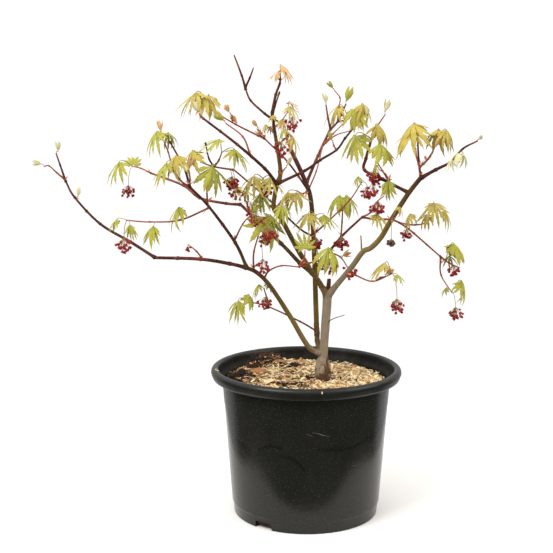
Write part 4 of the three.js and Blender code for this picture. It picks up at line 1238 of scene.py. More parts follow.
class MAPLE_OT_pot(bpy.types.Operator):
    """Spins the nursery pot, dents its wall, paints shade along its creases and cuts its drain notches"""

    bl_idname = "maple.pot"
    bl_label = "Nursery pot"

    def execute(self, context):
        pot = self.spin(context)
        mesh = pot.data
        set_points(mesh, on_wall(get_points(mesh)))
        for k in range(NOTCHES):
            self.cut_notch(pot, NOTCH_TURN + 360 * k / NOTCHES)
        points = get_points(mesh)
        # painted shade: each crease is darkened in colour as if in shadow, more for a deeper crease
        pressed = np.zeros(len(points))
        for line, depth, wide in CREASES:
            near = np.exp(-(crease_gap(points, line) / (0.55 * wide)) ** 2)
            pressed = np.maximum(pressed, 2 * depth * near)
        set_values(mesh, "pressed", pressed)
        only(pot)
        bpy.ops.object.shade_smooth_by_angle(angle=math.radians(38))
        mesh.materials.clear()
        mesh.materials.append(plastic_material())
        mesh.materials.append(inside_material())
        for face in mesh.polygons:
            face.material_index = int(is_inside(face.center / MM))
        settle(pot, ("pot",))
        self.scuff()
        return {"FINISHED"}

    def spin(self, context):
        """The pot's section, spun round its axis and closed."""
        profile = pot_profile()
        mesh = bpy.data.meshes.new("nursery_pot")
        mesh.from_pydata([(r, 0, z) for r, z in profile], [(i, i + 1) for i in range(len(profile) - 1)], [])
        pot = bpy.data.objects.new("nursery_pot", mesh)
        context.scene.collection.objects.link(pot)
        only(pot)
        edit_mode(True)
        bpy.ops.mesh.select_all(action="SELECT")
        bpy.ops.mesh.spin(steps=POT_STEPS, angle=2 * math.pi, center=(0, 0, 0), axis=(0, 0, 1))
        bpy.ops.mesh.select_all(action="SELECT")
        bpy.ops.mesh.remove_doubles(threshold=1e-5)
        bpy.ops.mesh.normals_make_consistent(inside=False)
        edit_mode(False)
        return pot

    def cut_notch(self, pot, turn):
        """Cuts one drain notch out of the foot."""
        wide, tall, deep = (MM * size for size in NOTCH_SIZE)
        bpy.ops.object.select_all(action="DESELECT")
        at = direction(turn, 0) * (BASE_RADIUS * MM + 6 * MM - deep / 2)
        bpy.ops.mesh.primitive_cube_add(size=1, location=at, rotation=(0, 0, math.radians(turn)))
        cutter = bpy.context.object
        cutter.scale = (deep, wide, 2 * tall)
        bpy.ops.object.transform_apply(location=True, rotation=True, scale=True)
        apply_modifier(cutter, "BEVEL", width=NOTCH_CORNER * MM, segments=3, limit_method="ANGLE")
        apply_modifier(pot, "BOOLEAN", object=cutter, operation="DIFFERENCE", solver="EXACT")
        bpy.data.objects.remove(cutter)

    def scuff(self):
        """Lays scratches and dry flecks on the wall."""
        pile = Pile()
        draws = np.random.default_rng(SCUFF_SEED)
        for line, width in SCRATCHES:
            path = on_wall(smooth_line([wall_point(heading, height) for heading, height in line], 6))
            radii = MM * 0.5 * width * np.sin(np.linspace(0.15, math.pi - 0.15, len(path)))
            points, faces, _ = tube(path, radii, 5)
            pile.add(points, faces)
        for _ in range(FLECKS):
            heading, height = draws.uniform(0, 360), draws.uniform(25, 236)
            centre = on_wall(wall_point(heading, height)[None])[0]
            out, side = direction(heading, 0), direction(heading + 90, 0)
            long, wide = draws.uniform(0.15, 0.5) * MM, draws.uniform(0.12, 0.3) * MM
            spin = draws.uniform(0, math.pi)
            first = math.cos(spin) * side + math.sin(spin) * np.array((0, 0, 1.0))
            second = np.cross(out, first)
            points = np.array([centre + first * long, centre + second * wide, centre - first * long,
                               centre - second * wide, centre + out * 0.25 * MM, centre - out * 0.3 * MM])
            faces = [(0, 1, 4), (1, 2, 4), (2, 3, 4), (3, 0, 4), (1, 0, 5), (2, 1, 5), (3, 2, 5), (0, 3, 5)]
            pile.add(points, faces)
        pile.build("pot_scuffs", scuff_material(), "pot", sharp=40)


# mulch

def trunk_gap(x, y):
    """How far a place lies from the middle of the trunk's foot, in millimetres."""
    return math.hypot(x / MM - TRUNK_FOOT[0], y / MM - TRUNK_FOOT[1])


def mulch_height(x, y):
    """Height of the soil at a place, in metres."""
    across, deep = x / MM, y / MM
    edge = MIX_EDGE_DROP * clamp((math.hypot(across, deep) - 100) / 45) ** 2
    lumps = 3.2 * noise.noise(Vector((x * 24, y * 24, 0.3)))
    lumps += 1.4 * noise.noise(Vector((x * 75, y * 75, 2.7)))
    raised = 5 * clamp((deep - 10) / 90) * clamp((10 - across) / 50) * clamp((across + 105) / 35)
    for middle, back, height, wide, long in HUMMOCKS:
        raised += height * math.exp(-((across - middle) / wide) ** 2 - ((deep - back) / long) ** 2)
    near = math.exp(-(trunk_gap(x, y) / 40) ** 2)
    return MM * (MIX_TOP - 1.5 - edge + lumps * (1 - 0.7 * near) + raised)


def darkness(x, y):
    """How much dark soil shows at a place, from 0 to 1."""
    spots = [math.exp(-((x / MM - cx) ** 2 + (y / MM - cy) ** 2) / r ** 2) for cx, cy, r in DARK_SPOTS]
    return min(1.0, max(spots) * 1.25)


def add_splinter(pile, centre, turns, size, jitter, bow):
    """Adds one splinter of wood: a bar with rough ends and a slight bow."""
    yaw, pitch, roll = turns
    long, wide, thick = size
    forward = direction(yaw, pitch)
    side = unit(np.cross((0, 0, 1.0), forward))
    up = np.cross(forward, side)
    tilt = math.radians(roll)
    side, up = math.cos(tilt) * side + math.sin(tilt) * up, math.cos(tilt) * up - math.sin(tilt) * side
    basis = np.vstack([forward, side, up])
    signs = np.array([(a, b, c) for a in (-1, 1) for b in (-1, 1) for c in (-1, 1)], float)
    ends = centre + signs * jitter * (long / 2, wide / 2, thick / 2) @ basis
    ring = centre + up * bow * long + signs[:4] * (0, wide * 0.52, thick / 2) @ basis
    points = np.vstack([ends[:4], ring, ends[4:]])
    faces = [(0, 1, 3, 2), (8, 10, 11, 9)]
    for a in (0, 4):
        faces += [(a + j, a + j + 4, a + k + 4, a + k) for j, k in ((0, 1), (1, 3), (3, 2), (2, 0))]
    start = pile.count * 0.37 % 5
    uvs = np.array([(u + start, v) for u in (0, 0.5, 1) for v in (0, 0.1, 0.9, 1)])
    pile.add(points, faces, uvs)


def plane_turn(degrees, first, second):
    """The matrix that turns rows of points in the plane of two axes."""
    angle = math.radians(degrees)
    made = np.eye(3)
    made[first, first] = made[second, second] = math.cos(angle)
    made[first, second], made[second, first] = math.sin(angle), -math.sin(angle)
    return made


class MAPLE_OT_mulch(bpy.types.Operator):
    """Fills the pot with soil and strews it with wood chips, crumbs, roots and bark"""

    bl_idname = "maple.mulch"
    bl_label = "Soil and wood chips"

    def execute(self, context):
        self.soil(context)
        draws = np.random.default_rng(MULCH_SEED)
        looks = context.scene.maple_mulch
        self.chips(looks, draws)
        self.crumbs(draws)
        self.fibres(looks, draws)
        self.flakes()
        return {"FINISHED"}

    def soil(self, context):
        """The body of soil: a filled drum, narrower at its foot, with a lumpy top."""
        bpy.ops.object.select_all(action="DESELECT")
        top, low = (MIX_TOP - MIX_EDGE_DROP) * MM, (FLOOR + 0.3) * MM
        reach = (NECK_RADIUS - WALL - 1.2) * MM
        bpy.ops.mesh.primitive_cylinder_add(
            vertices=128, radius=reach, depth=top - low, location=(0, 0, (top + low) / 2))
        soil = context.object
        soil.name = soil.data.name = "soil_bed"
        bpy.ops.object.transform_apply(location=True, rotation=True, scale=True)
        mesh = soil.data
        edit_mode(True)
        bpy.ops.mesh.select_all(action="DESELECT")
        edit_mode(False)
        for face in mesh.polygons:
            face.select = face.normal.z > 0.9
        edit_mode(True)
        for _ in range(MIX_RINGS):
            bpy.ops.mesh.inset(thickness=reach / (MIX_RINGS + 1), use_even_offset=False)
        bpy.ops.mesh.poke()
        edit_mode(False)
        points = get_points(mesh)
        narrow = (BASE_RADIUS - WALL - 1.5) * MM / reach
        for point in points:
            if point[2] < top - 1e-5:
                point[:2] *= narrow
            else:
                point[2] = mulch_height(point[0], point[1])
        set_points(mesh, points)
        only(soil)
        bpy.ops.object.shade_smooth_by_angle(angle=math.radians(50))
        mesh.materials.append(soil_material())
        settle(soil, ("potting_mix",))

    def chips(self, looks, draws):
        """Splinters of wood, in three tones, lying on the soil and on each other."""
        piles = {"pale": Pile(), "tan": Pile(), "brown": Pile()}
        for _ in range(looks.chips):
            turn, reach = draws.uniform(0, 2 * math.pi), CHIP_REACH * MM * math.sqrt(draws.uniform(0, 1))
            x, y = reach * math.cos(turn), reach * math.sin(turn)
            long = MM * min(26, draws.lognormal(2.2, 0.5))
            wide = long * draws.uniform(0.09, 0.27)
            thick = MM * draws.uniform(0.4, 1.3)
            tone, cover, lift = draws.uniform(0, 1), draws.uniform(0, 1), draws.uniform(0, 1)
            yaw, pitch, roll = draws.uniform(0, 360), draws.normal(0, 17), draws.normal(0, 26)
            jitter = draws.uniform(0.72, 1.0, (8, 1))
            bow = draws.normal(0, 0.06)
            dark = darkness(x, y)
            tone -= 0.25 * clamp(x / (60 * MM))
            if cover < dark * 0.9 or trunk_gap(x, y) < CHIP_GAP + 0.3 * long / MM:
                continue
            if reach + long / 2 > CHIP_LIMIT * MM:
                yaw = math.degrees(turn) + 90 + draws.normal(0, 8)
            centre = np.array((x, y, mulch_height(x, y) + MM * (0.6 + 5.5 * lift * lift)))
            kind = "pale" if tone < 0.55 - 0.4 * dark else "tan" if tone < 0.88 - 0.4 * dark else "brown"
            add_splinter(piles[kind], centre, (yaw, pitch, roll), (long, wide, thick), jitter, bow)
        for x, y, z, long, turn, pitch in RIM_BITS:
            centre, size = MM * np.array((x, y, z)), MM * np.array((long, 1.7, 0.8))
            add_splinter(piles["pale"], centre, (turn, pitch, 0), size, np.ones((8, 1)), 0)
        for kind, pile in piles.items():
            material = wood_material(f"{kind}_wood", getattr(looks, kind))
            pile.build(f"wood_chips_{kind}", material, "mulch", sharp=30)

    def crumbs(self, draws):
        """Dark crumbs of potting mix, thick where the soil shows."""
        bpy.ops.object.select_all(action="DESELECT")
        bpy.ops.mesh.primitive_ico_sphere_add(subdivisions=2, radius=1)
        ball = bpy.context.object
        shape = get_points(ball.data)
        faces = [tuple(face.vertices) for face in ball.data.polygons]
        bpy.data.objects.remove(ball)
        pile = Pile()
        for k in range(CRUMBS):
            if k % 4:
                choices = 4 if k % 2 else len(DARK_SPOTS)
                cx, cy, r = DARK_SPOTS[int(draws.integers(0, choices))]
                x, y = MM * draws.normal(cx, 0.55 * r), MM * draws.normal(cy, 0.55 * r)
            else:
                turn, reach = draws.uniform(0, 2 * math.pi), CRUMB_REACH * math.sqrt(draws.uniform(0, 1))
                x, y = MM * reach * math.cos(turn), MM * reach * math.sin(turn)
            size = MM * min(8.5, draws.lognormal(1.0, 0.5)) * (1.0 if k % 4 else 0.6)
            squash = draws.uniform(0.5, 1.1, 3)
            seed = draws.uniform(0, 50, 3)
            if math.hypot(x, y) + size > CRUMB_LIMIT * MM or trunk_gap(x, y) < CRUMB_GAP:
                continue
            rough = np.array([1 + 0.5 * noise.noise(Vector(p * 1.7 + seed)) for p in shape])[:, None]
            points = shape * rough * squash * size + (x, y, mulch_height(x, y) + size * 0.35)
            pile.add(points, faces)
        pile.build("soil_crumbs", soil_material(), "mulch", sharp=50)

    def fibres(self, looks, draws):
        """Fine dry roots that stick out of the soil at the left and the back."""
        pile = Pile()
        for k in range(ROOT_FIBRES):
            cx, cy, spread = ROOT_SPOTS[k % len(ROOT_SPOTS)]
            x, y = MM * draws.normal(cx, spread * 0.6), MM * draws.normal(cy, spread * 0.35)
            inside = min(1.0, ROOT_REACH * MM / math.hypot(x, y))
            x, y = x * inside, y * inside
            heading, climb = draws.uniform(0, 360), draws.uniform(0, 48)
            path = [np.array((x, y, mulch_height(x, y)))]
            for _ in range(7):
                heading += draws.normal(0, 32)
                climb = climb * 0.7 + draws.normal(0, 14)
                step = path[-1] + direction(heading, climb) * draws.uniform(2.5, 5.5) * MM
                step[:2] *= min(1.0, ROOT_LIMIT * MM / math.hypot(step[0], step[1]))
                path.append(step)
            path = smooth_line(path, 2)
            radii = MM * draws.uniform(0.25, 0.55) * np.linspace(1, 0.45, len(path))
            points, faces, shares = tube(path, radii, 5)
            pile.add(points, faces, np.column_stack([shares, shares]))
        pile.build("root_fibres", wood_material("dry_root", shade(looks.brown, 0.8)[:3]), "mulch", sharp=60)

    def flakes(self):
        """Flat pieces of bark, bowed along their length."""
        pile = Pile()
        rows = np.linspace(-1, 1, 7)
        faces = []
        for i in range(0, 36, 6):
            for j in range(6):
                k = (j + 1) % 6
                faces.append((i + j, i + j + 6, i + k + 6, i + k))
        faces += [(0, 1, 2, 3, 4, 5), (41, 40, 39, 38, 37, 36)]
        uvs = np.array([((t + 1) / 2, v) for t in rows for v in (0, 1, 0.9, 0.7, 0.3, 0.1)])
        for x, y, long, wide, yaw, lift, roll in FLAKES:
            points = []
            for t in rows:
                half = 0.5 * wide * (1 - 0.55 * t * t) * (1 + 0.12 * math.sin(9 * t))
                ring = ((1, -0.8), (-1, -0.8), (-1, 0.2), (-0.4, 0.9), (0.4, 0.9), (1, 0.2))
                points += [(0.5 * long * t, side * half, 1.5 * (1 - t * t) + up) for side, up in ring]
            base = np.array((x * MM, y * MM, mulch_height(x * MM, y * MM) + lift * MM))
            turn = plane_turn(roll, 1, 2) @ plane_turn(yaw, 0, 1)
            pile.add(base + MM * np.array(points) @ turn, faces, uvs)
        pile.build("bark_flakes", wood_material("flaked_bark", FLAKE_COLOUR), "mulch", sharp=40)


# bark

def collar_radius(plant, name):
    """The radius of a limb's parent where the limb leaves it."""
    if name == "trunk":
        return 0.0
    parent, at = LIMB_ROWS[name][1:3]
    return limb_radius(parent, at, plant.lines[parent].length)


def limb_samples(plant, names):
    """Points down the middle of limbs outside their parents: place, travel, radius, age and limb."""
    rows = []
    for name in names:
        line = plant.lines[name]
        sunk = 0.95 * collar_radius(plant, name)
        for point, share in zip(*line.path(1.5 * MM)):
            travel, radius = share * line.length, limb_radius(name, share, line.length)
            if travel >= sunk:
                rows.append((point, travel, radius, limb_age(name, share), name))
    return rows


def add_spline(curve, path, radii):
    """Adds one limb to a curve that is bevelled to a round section."""
    spline = curve.splines.new("POLY")
    spline.points.add(len(path) - 1)
    spline.points.foreach_set("co", np.column_stack([path, np.ones(len(path))]).astype(np.float32).ravel())
    spline.points.foreach_set("radius", np.asarray(radii, dtype=np.float32))


def limb_radii(plant, name, shares):
    """A limb's radius along its length, with a collar at its foot and, on a thin one, swollen nodes."""
    line, collar = plant.lines[name], collar_radius(plant, name)
    travel = shares * line.length
    radii = np.array([limb_radius(name, share, line.length) for share in shares])
    if name != "trunk":
        radii = radii * (1 + 0.4 * np.exp(-np.maximum(0, travel - collar) / (1.1 * collar + 1e-6)))
    if name not in BOUGHS:
        for place in line.nodes:
            radii = radii + 0.3 * radii * np.exp(-((travel - place) / (1.2 * MM + 0.4 * radii)) ** 2)
    return radii


def new_curve(name, sides):
    """An empty curve with a round section of one metre, so a point's radius is its own."""
    bpy.ops.object.select_all(action="DESELECT")
    bpy.ops.curve.primitive_bezier_curve_add()
    obj = bpy.context.object
    obj.name = obj.data.name = name
    obj.data.splines.clear()
    obj.data.bevel_depth = 1.0
    obj.data.bevel_resolution = sides
    obj.data.use_fill_caps = True
    return obj


class MAPLE_OT_limbs(bpy.types.Operator):
    """Grows the trunk, boughs and limbs and gives them bark"""

    bl_idname = "maple.limbs"
    bl_label = "Trunk and limbs"

    def execute(self, context):
        plant = grown_plant()
        material = bark_material()
        others = [name for name in LIMB_ROWS if name not in BOUGHS]
        thick = self.grow(plant, "trunk_and_boughs", 6, BOUGHS, 3 * MM, plant.stubs)
        apply_modifier(thick, "REMESH", mode="VOXEL", voxel_size=VOXEL * MM, use_smooth_shade=True)
        apply_modifier(thick, "SMOOTH", factor=0.5, iterations=4)
        thin = self.grow(plant, "branches", 3, others, 2.5 * MM)
        for obj, names in ((thick, BOUGHS), (thin, others)):
            self.carve(obj, plant, names)
            self.finish(obj, material, names)
        return {"FINISHED"}

    def grow(self, plant, name, sides, limbs, spacing, stubs=()):
        """The skin of some limbs and stubs as one mesh."""
        obj = new_curve(name, sides)
        for limb in limbs:
            path, shares = plant.lines[limb].path(spacing)
            add_spline(obj.data, path, limb_radii(plant, limb, shares))
        for line, radius, _ in stubs:
            path, shares = line.path(spacing)
            add_spline(obj.data, path, radius * MM * (1 - 0.25 * shares))
        only(obj)
        bpy.ops.object.convert(target="MESH")
        return bpy.context.object

    def carve(self, obj, plant, names):
        """Cuts the bark's relief into the skin and notes each point's age."""
        mesh = obj.data
        rows = limb_samples(plant, names)
        tree = kdtree.KDTree(len(rows))
        for i, row in enumerate(rows):
            tree.insert(row[0], i)
        tree.balance()
        points, normals = get_points(mesh), get_points(mesh, "normal")
        share = bpy.context.scene.maple_bark.relief
        stub = np.full(len(points), -1)
        for k, (line, radius, _) in enumerate(plant.stubs):
            gaps = [np.linalg.norm(points - place, axis=1) for place in line.path(1.5 * MM)[0]]
            stub[np.min(gaps, axis=0) < 1.3 * radius * MM] = k
        top = plant.lines["trunk"].length
        ages, scars = np.zeros(len(points)), np.zeros(len(points))
        for i, point in enumerate(points):
            middle, travel, radius, age, name = rows[tree.find(point)[1]]
            if stub[i] >= 0:
                radius, age, name = plant.stubs[stub[i]][1] * MM, plant.stubs[stub[i]][2], ""
            off = point - middle
            ages[i] = age
            streak = noise.noise(Vector((off[0] * 330, off[1] * 330, off[2] * 60 + travel * 24)))
            lump = noise.noise(Vector(point * 95))
            grit = noise.noise(Vector(point * 230))
            depth = share * radius * (streak - 0.8 * max(0, -streak) + 0.7 * lump)
            if name == "trunk":
                more, scars[i] = self.trunk_bark(point, off, travel, top, lump, grit)
                depth += more
            elif name in ROUGH_FEET:
                climb, brown = ROUGH_FEET[name]
                rugged = clamp((climb - travel / MM) / 12)
                scars[i] = -rugged * brown * (0.8 + 2.4 * max(0.0, grit + lump))
                depth += 0.8 * MM * rugged * (lump + grit)
            points[i] = point + normals[i] * depth
        set_points(mesh, points)
        set_values(mesh, "age", ages)
        set_values(mesh, "scar", scars)

    def trunk_bark(self, point, off, travel, top, lump, grit):
        """Relief and stain of the trunk: its scar, its cleft, and rugged bark at its foot and fork."""
        gap = (point / MM - SCAR[0]) / (SCAR[1], 10, SCAR[2])
        ring = math.sqrt(float(gap @ gap)) + 0.28 * lump + 0.12 * grit
        crack = self.crack(point)
        low = max(0.0, 1 - travel / (46 * MM))
        rugged = max(low, 1 - (top - travel) / (17 * MM))
        depth = 0.5 * math.exp(-((ring - 1) / 0.22) ** 2) - 0.5 * max(0, 1 - ring) - 2 * crack
        depth += 0.35 * low * math.cos(3 * math.atan2(off[1], off[0]) + 0.6)
        depth += rugged * (1.2 * lump + 1.6 * grit)
        edge = math.exp(-((ring - 0.95) / 0.2) ** 2) * (0.55 + 1.3 * lump)
        stain = rugged * max(0.0, 0.7 * grit + lump + 0.05) + 0.3 * low ** 3
        light = max(min(0.8, 3 * (0.85 - ring)), 2.2 * rugged * (-lump - 0.5 * grit), 0.0)
        return MM * depth, light - max(0.0, 1.5 * edge) - 2.4 * crack - 4.5 * stain

    def crack(self, point):
        """How deep a point lies in the cleft beside the trunk's foot, from 0 to 1."""
        x, y, z = point / MM
        middle = CLEFT[0] + 1.6 * math.sin(z / 5)
        tall = math.exp(-((z - CLEFT[1]) / CLEFT[2]) ** 4)
        return tall * math.exp(-((x - middle) / 2) ** 2) * (y < TRUNK_FOOT[1])

    def finish(self, obj, material, nodes):
        """Smooths a skin, gives it bark and hides the solids of the limbs it stands for."""
        only(obj)
        bpy.ops.object.shade_smooth()
        obj.data.materials.clear()
        obj.data.materials.append(material)
        settle(obj, tuple(nodes))


class MAPLE_OT_twigs(bpy.types.Operator):
    """Grows the twigs, leaf stalks, flower stalks and small buds"""

    bl_idname = "maple.twigs"
    bl_label = "Twigs and stalks"

    def execute(self, context):
        plant = grown_plant()
        twigs, stalks = Pile(), Pile()
        draws = np.random.default_rng(TWIG_SEED)
        for twig in plant.twigs:
            self.twig(twigs, twig)
            for at, way, _ in twig["line"].node_places():
                self.bud_pair(twigs, at, way, 1.0, twig["mass"], draws)
        for name in LIMB_ROWS:
            if name in BOUGHS:
                continue
            line = plant.lines[name]
            for at, way, share in line.node_places():
                radius = limb_radius(name, share, line.length) / MM
                self.bud_pair(twigs, at, way, 1.15 * radius, None, draws, 1.35)
        for leaf in plant.leaves:
            self.leaf_stalk(stalks, leaf)
        for cluster in plant.clusters:
            self.flower_stalks(stalks, cluster)
        material = bark_material()
        twigs.build("twigs", material, "bark", sharp=70, value_name="age")
        stalks.build("leaf_and_flower_stalks", material, "leaf", sharp=70, value_name="age")
        return {"FINISHED"}

    def twig(self, pile, twig):
        """One twig with swollen nodes, and a bud at its end if it is old or bare."""
        line, mass, fine = twig["line"], twig["mass"], twig["fine"]
        old, dark = twig["name"] in OLD_TWIGS, twig["name"] in DARK_TWIGS
        path, shares = line.path(2.5 * MM)
        travel = shares * line.length
        first, last = (1.4, 0.95) if fine else (1.7, 1.05)
        radii = MM * (first + (last - first) * shares) * (1.25 if old or dark else 1)
        radii = radii * (1 + 0.5 * np.exp(-travel / (3 * MM)))
        for place in line.nodes:
            radii = radii + 0.35 * radii * np.exp(-((travel - place) / (1.6 * MM)) ** 2)
        points, faces, along = tube(path, radii, 8)
        age = 0.26 - 0.06 * along if fine else 0.34 - 0.12 * along
        if old or dark:
            age = 0.46 - 0.08 * along * dark
        pile.add(points, faces, values=age, mass=mass)
        if old or not twig["living"]:
            size, age = (2.6, 0.46) if old else (1.6, 0.4)
            self.bud(pile, path[-1], path[-1] - path[-2], size, mass, age)

    def leaf_stalk(self, pile, leaf):
        """The bent stalk of one leaf."""
        length = leaf["length"]
        lift = 0.18 * length * np.array((0, 0, 1.0))
        first = leaf["foot"] + leaf["way"] * 0.45 * length + lift
        second = leaf["tip"] - leaf["out"] * 0.22 * length + lift * 0.8
        path = bend_path(leaf["foot"], first, second, leaf["tip"] - leaf["up"] * 0.2 * MM, 8)
        thick = 0.42 + 0.008 * leaf["size"] / MM
        points, faces, _ = tube(path, MM * thick * np.linspace(1.25, 0.85, 9), 6)
        age = 0.16 if leaf["tint"] in ("gold", "bronze") else 0.07
        pile.add(points, faces, values=age, mass=leaf["mass"])

    def flower_stalks(self, pile, cluster):
        """The stalk of one cluster and the thin stalks of its flowers."""
        foot, end = cluster["foot"], cluster["end"]
        first = foot + (end - foot) * (0.6, 0.6, 0) + (0, 0, 2 * MM)
        path = bend_path(foot, first, end + (0, 0, 0.5 * cluster["hang"]), end, 8)
        points, faces, _ = tube(path, np.full(9, 0.6 * MM), 6)
        pile.add(points, faces, values=0.1, mass=cluster["mass"])
        for start, flower, _ in flower_places(cluster):
            middle = 0.5 * (start + flower) + (0, 0, 1.2 * MM)
            path = bend_path(start, middle, middle, flower, 4)
            points, faces, along = tube(path, np.full(5, 0.32 * MM), 4)
            pile.add(points, faces, values=0.1 + 0.12 * along, mass=cluster["mass"])

    def bud(self, pile, foot, way, size, mass, age):
        """One closed bud: a short pointed drop."""
        shares = np.array((0, 0.3, 0.6, 0.85, 1.0))
        radii = MM * size * np.array((0.55, 0.8, 0.7, 0.4, 0.12))
        points, faces, _ = tube(foot + unit(way) * (shares * 2.6 * size * MM)[:, None], radii, 6)
        pile.add(points, faces, values=age, mass=mass)

    def bud_pair(self, pile, at, way, radius, mass, draws, plump=1.0):
        """Two buds on opposite sides of a node."""
        way = unit(way)
        side = unit(np.cross(way, draws.normal(0, 1, 3)))
        for turn in (1, -1):
            lean = 0.75 * way + 0.65 * turn * side
            size, age = plump * draws.uniform(0.6, 1.0), draws.uniform(0.26, 0.42) - 0.16 * (plump > 1)
            self.bud(pile, at + side * turn * radius * 0.7 * MM, lean, size, mass, age)


def flower_places(cluster):
    """Where each flower of a cluster hangs: the stalk's foot, the flower and its size."""
    draws = np.random.default_rng(cluster["seed"])
    made = []
    count = len(cluster["lengths"])
    snug = 0.5 if count == 1 or cluster["mass"] == DRIED else 0.98
    for i, length in enumerate(snug * np.array(cluster["lengths"])):
        for k, falls in enumerate(FLOWER_FALLS):
            turn = cluster["turn"] + 360 * (i + 0.37 * k) / count + draws.normal(0, 14)
            fall = -draws.uniform(*falls)
            ball = cluster["end"] - (0, 0, 0.55 * length)
            start = cluster["end"] + np.array((0, 0, draws.uniform(-0.5, 1.5) * MM))
            flower = ball + direction(turn, fall) * length * draws.uniform(0.5, 0.95)
            made.append((start, flower, MM * draws.uniform(3.5, 4.8)))
    return made


class MAPLE_OT_leaves(bpy.types.Operator):
    """Hangs the leaves, tint by tint, and the bud scales round the shoots' feet"""

    bl_idname = "maple.leaves"
    bl_label = "Leaves"

    def execute(self, context):
        plant = grown_plant()
        looks = context.scene.maple_foliage
        for tint in TINTS:
            pile = Pile()
            for leaf in plant.leaves:
                if leaf["tint"] == tint:
                    add_leaf(pile, leaf)
            material = leaf_material(f"{tint}_leaf", getattr(looks, tint), looks.ends)
            slot = "young_leaf" if tint in ("pale", "bronze") else "leaf"
            pile.build(f"leaves_{tint}", material, slot, sharp=50)
        self.scales(plant, looks)
        return {"FINISHED"}

    def scales(self, plant, looks):
        """Bud scales round the feet of shoots and under opening buds."""
        pile = Pile()
        draws = np.random.default_rng(SCALE_SEED)
        for twig in plant.twigs:
            if not twig["living"]:
                continue
            line, grown = twig["line"], twig["grown"]
            way = unit(line.at(0.12) - line.at(0.0))
            foot = line.at(min(0.5, 4.5 * MM / line.length))
            turn = draws.uniform(0, 360)
            for k in range(4 if grown else 2):
                side = direction(turn + 180 * k + draws.normal(0, 20), 0)
                lean = unit(way * draws.uniform(0.7, 1.0) + side * draws.uniform(0.3, 0.8))
                length = MM * draws.uniform(7, 16) * (1 if grown else 0.7)
                width, curl = MM * draws.uniform(1.3, 2.4), draws.uniform(0.05, 0.4)
                add_strap(pile, foot + side * 0.8 * MM, lean, length, width, curl, twig["mass"])
        for leaf in plant.leaves:
            if leaf["carriage"] is not BUD:
                continue
            foot = leaf["tip"] - 1.5 * MM * leaf["way"]
            for k in range(3):
                lean = 0.8 * direction(120 * k + draws.uniform(0, 60), 0) + (0, 0, 0.7)
                add_strap(pile, foot, lean, MM * draws.uniform(5, 9), 1.2 * MM, 0.5, leaf["mass"])
        pile.build("bud_scales", petal_material("bud_scale", looks.scale, 0.3), "young_leaf", sharp=50)


class MAPLE_OT_blossom(bpy.types.Operator):
    """Hangs the red flower clusters, and the one that has dried"""

    bl_idname = "maple.blossom"
    bl_label = "Blossom"

    def execute(self, context):
        looks = context.scene.maple_foliage
        fresh, dried = Pile(), Pile()
        for cluster in grown_plant().clusters:
            draws = np.random.default_rng(cluster["seed"] + 1)
            pile = dried if cluster["mass"] == DRIED else fresh
            for start, end, size in flower_places(cluster):
                way = 0.5 * unit(end - start) + draws.normal(0, 0.3, 3) - (0, 0, 0.5)
                add_flower(pile, end, unit(way), size, cluster["mass"], draws)
        fresh.build("blossom", petal_material("red_petal", looks.blossom, 0.35), "blossom", sharp=50)
        dried.build("dried_blossom", petal_material("dried_petal", looks.dried, 0.3), "blossom", sharp=50)
        return {"FINISHED"}


# stage

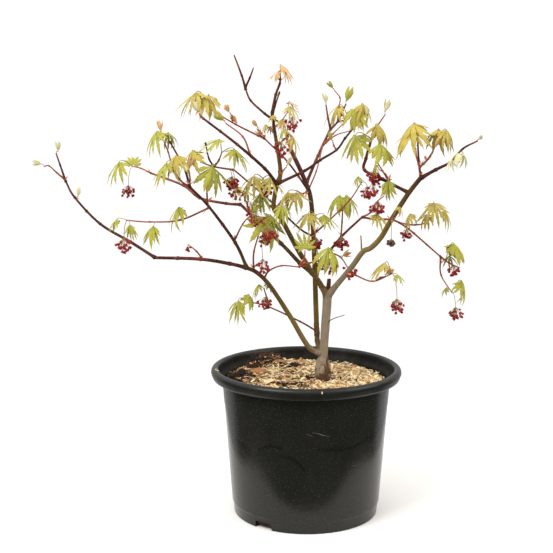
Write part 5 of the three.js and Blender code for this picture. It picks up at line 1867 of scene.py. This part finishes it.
class MAPLE_OT_stage(bpy.types.Operator):
    """Sets the floor, the soft light and the camera"""

    bl_idname = "maple.stage"
    bl_label = "Floor, light and camera"

    def execute(self, context):
        looks = context.scene.maple_stage
        bpy.ops.object.select_all(action="DESELECT")
        bpy.ops.mesh.primitive_plane_add(size=2, location=(0, STAGE_MIDDLE * looks.reach, -STAGE_DROP))
        floor = context.object
        floor.scale = (STAGE_WIDTH * looks.reach, looks.reach, 1)
        bpy.ops.object.transform_apply(location=True, rotation=True, scale=True)
        edit_mode(True)
        bpy.ops.mesh.select_all(action="SELECT")
        bpy.ops.mesh.bevel(offset=STAGE_CORNER * looks.reach, segments=16, affect="VERTICES")
        edit_mode(False)
        floor.name = "floor"
        material, _, shader = new_material("pale_floor", 0.9, 0.1)
        shader.inputs["Base Color"].default_value = shade(looks.floor, 1)
        floor.data.materials.append(material)
        world = bpy.data.worlds.new("white_surround")
        world.use_nodes = True
        self.light_world(world.node_tree, looks)
        context.scene.world = world
        context.scene.view_settings.view_transform = "Standard"
        for name, place, size, share in LAMPS:
            bpy.ops.object.light_add(type="AREA", location=place)
            light = context.object
            light.name = name
            light.data.size = size
            light.data.energy = looks.key * share
            light.rotation_euler = (Vector(LAMP_AIM) - Vector(place)).to_track_quat("-Z", "Y").to_euler()
        bpy.ops.object.camera_add(location=CAMERA_PLACE, rotation=(math.radians(CAMERA_PITCH), 0, 0))
        camera = context.object
        camera.name = "camera"
        camera.data.sensor_width = SENSOR_WIDTH
        camera.data.lens = looks.lens
        camera.data.clip_start, camera.data.clip_end = 0.05, 100
        context.scene.camera = camera
        return {"FINISHED"}

    def light_world(self, tree, looks):
        """Soft light from above and from a white backdrop behind, with a dim room in front."""
        coords = node(tree, "ShaderNodeTexCoord").outputs["Generated"]
        place = node(tree, "ShaderNodeSeparateXYZ", {0: coords}).outputs
        above = ranged(tree, place["Z"], 0.14, 0.55, 0.0, looks.sky)
        behind = ranged(tree, place["Y"], 0.36, 0.58, 0.0, looks.sky * 0.54)
        path = node(tree, "ShaderNodeLightPath").outputs
        front = scaled(tree, path["Is Glossy Ray"], -looks.front, looks.front + 0.03)
        seen = scaled(tree, path["Is Camera Ray"], looks.backdrop)
        soft, low = reckon(tree, "MAXIMUM", above, behind), reckon(tree, "MAXIMUM", front, seen)
        background = tree.nodes["Background"]
        background.inputs["Color"].default_value = (1, 1, 1, 1)
        tree.links.new(reckon(tree, "MAXIMUM", soft, low), background.inputs["Strength"])


class VIEW3D_PT_maple(bpy.types.Panel):
    """Sizes and colours of the potted maple, and the steps that build it"""

    bl_idname = "VIEW3D_PT_maple"
    bl_label = "Potted maple"
    bl_space_type = "VIEW_3D"
    bl_region_type = "UI"
    bl_category = "Maple"

    def draw(self, context):
        layout = self.layout
        for label, name, steps in STEPS:
            box = layout.box()
            box.label(text=label)
            looks = getattr(context.scene, name)
            for key in looks.__annotations__:
                box.prop(looks, key)
            for step in steps:
                box.operator(step)


STEPS = (
    ("Stage", "maple_stage", ("maple.stage",)),
    ("Pot", "maple_pot", ("maple.pot",)),
    ("Mulch", "maple_mulch", ("maple.mulch",)),
    ("Bark", "maple_bark", ("maple.limbs", "maple.twigs")),
    ("Foliage", "maple_foliage", ("maple.leaves", "maple.blossom")),
)
SETTINGS = {
    "maple_stage": MapleStage, "maple_pot": MaplePot, "maple_mulch": MapleMulch, "maple_bark": MapleBark,
    "maple_foliage": MapleFoliage}
CLASSES = (
    *SETTINGS.values(), MAPLE_OT_stage, MAPLE_OT_pot, MAPLE_OT_mulch, MAPLE_OT_limbs, MAPLE_OT_twigs,
    MAPLE_OT_leaves, MAPLE_OT_blossom, VIEW3D_PT_maple)


def register():
    """Makes the settings, the steps and the panel known to Blender."""
    for cls in CLASSES:
        bpy.utils.register_class(cls)
    for name, cls in SETTINGS.items():
        setattr(bpy.types.Scene, name, PointerProperty(type=cls))


def unregister():
    """Takes them away again."""
    for name in SETTINGS:
        delattr(bpy.types.Scene, name)
    for cls in reversed(CLASSES):
        bpy.utils.unregister_class(cls)


def main():
    """Builds the stage and every piece."""
    register()
    bpy.ops.maple.stage()
    bpy.ops.maple.pot()
    bpy.ops.maple.mulch()
    bpy.ops.maple.limbs()
    bpy.ops.maple.twigs()
    bpy.ops.maple.leaves()
    bpy.ops.maple.blossom()


if __name__ == "__main__":
    main()
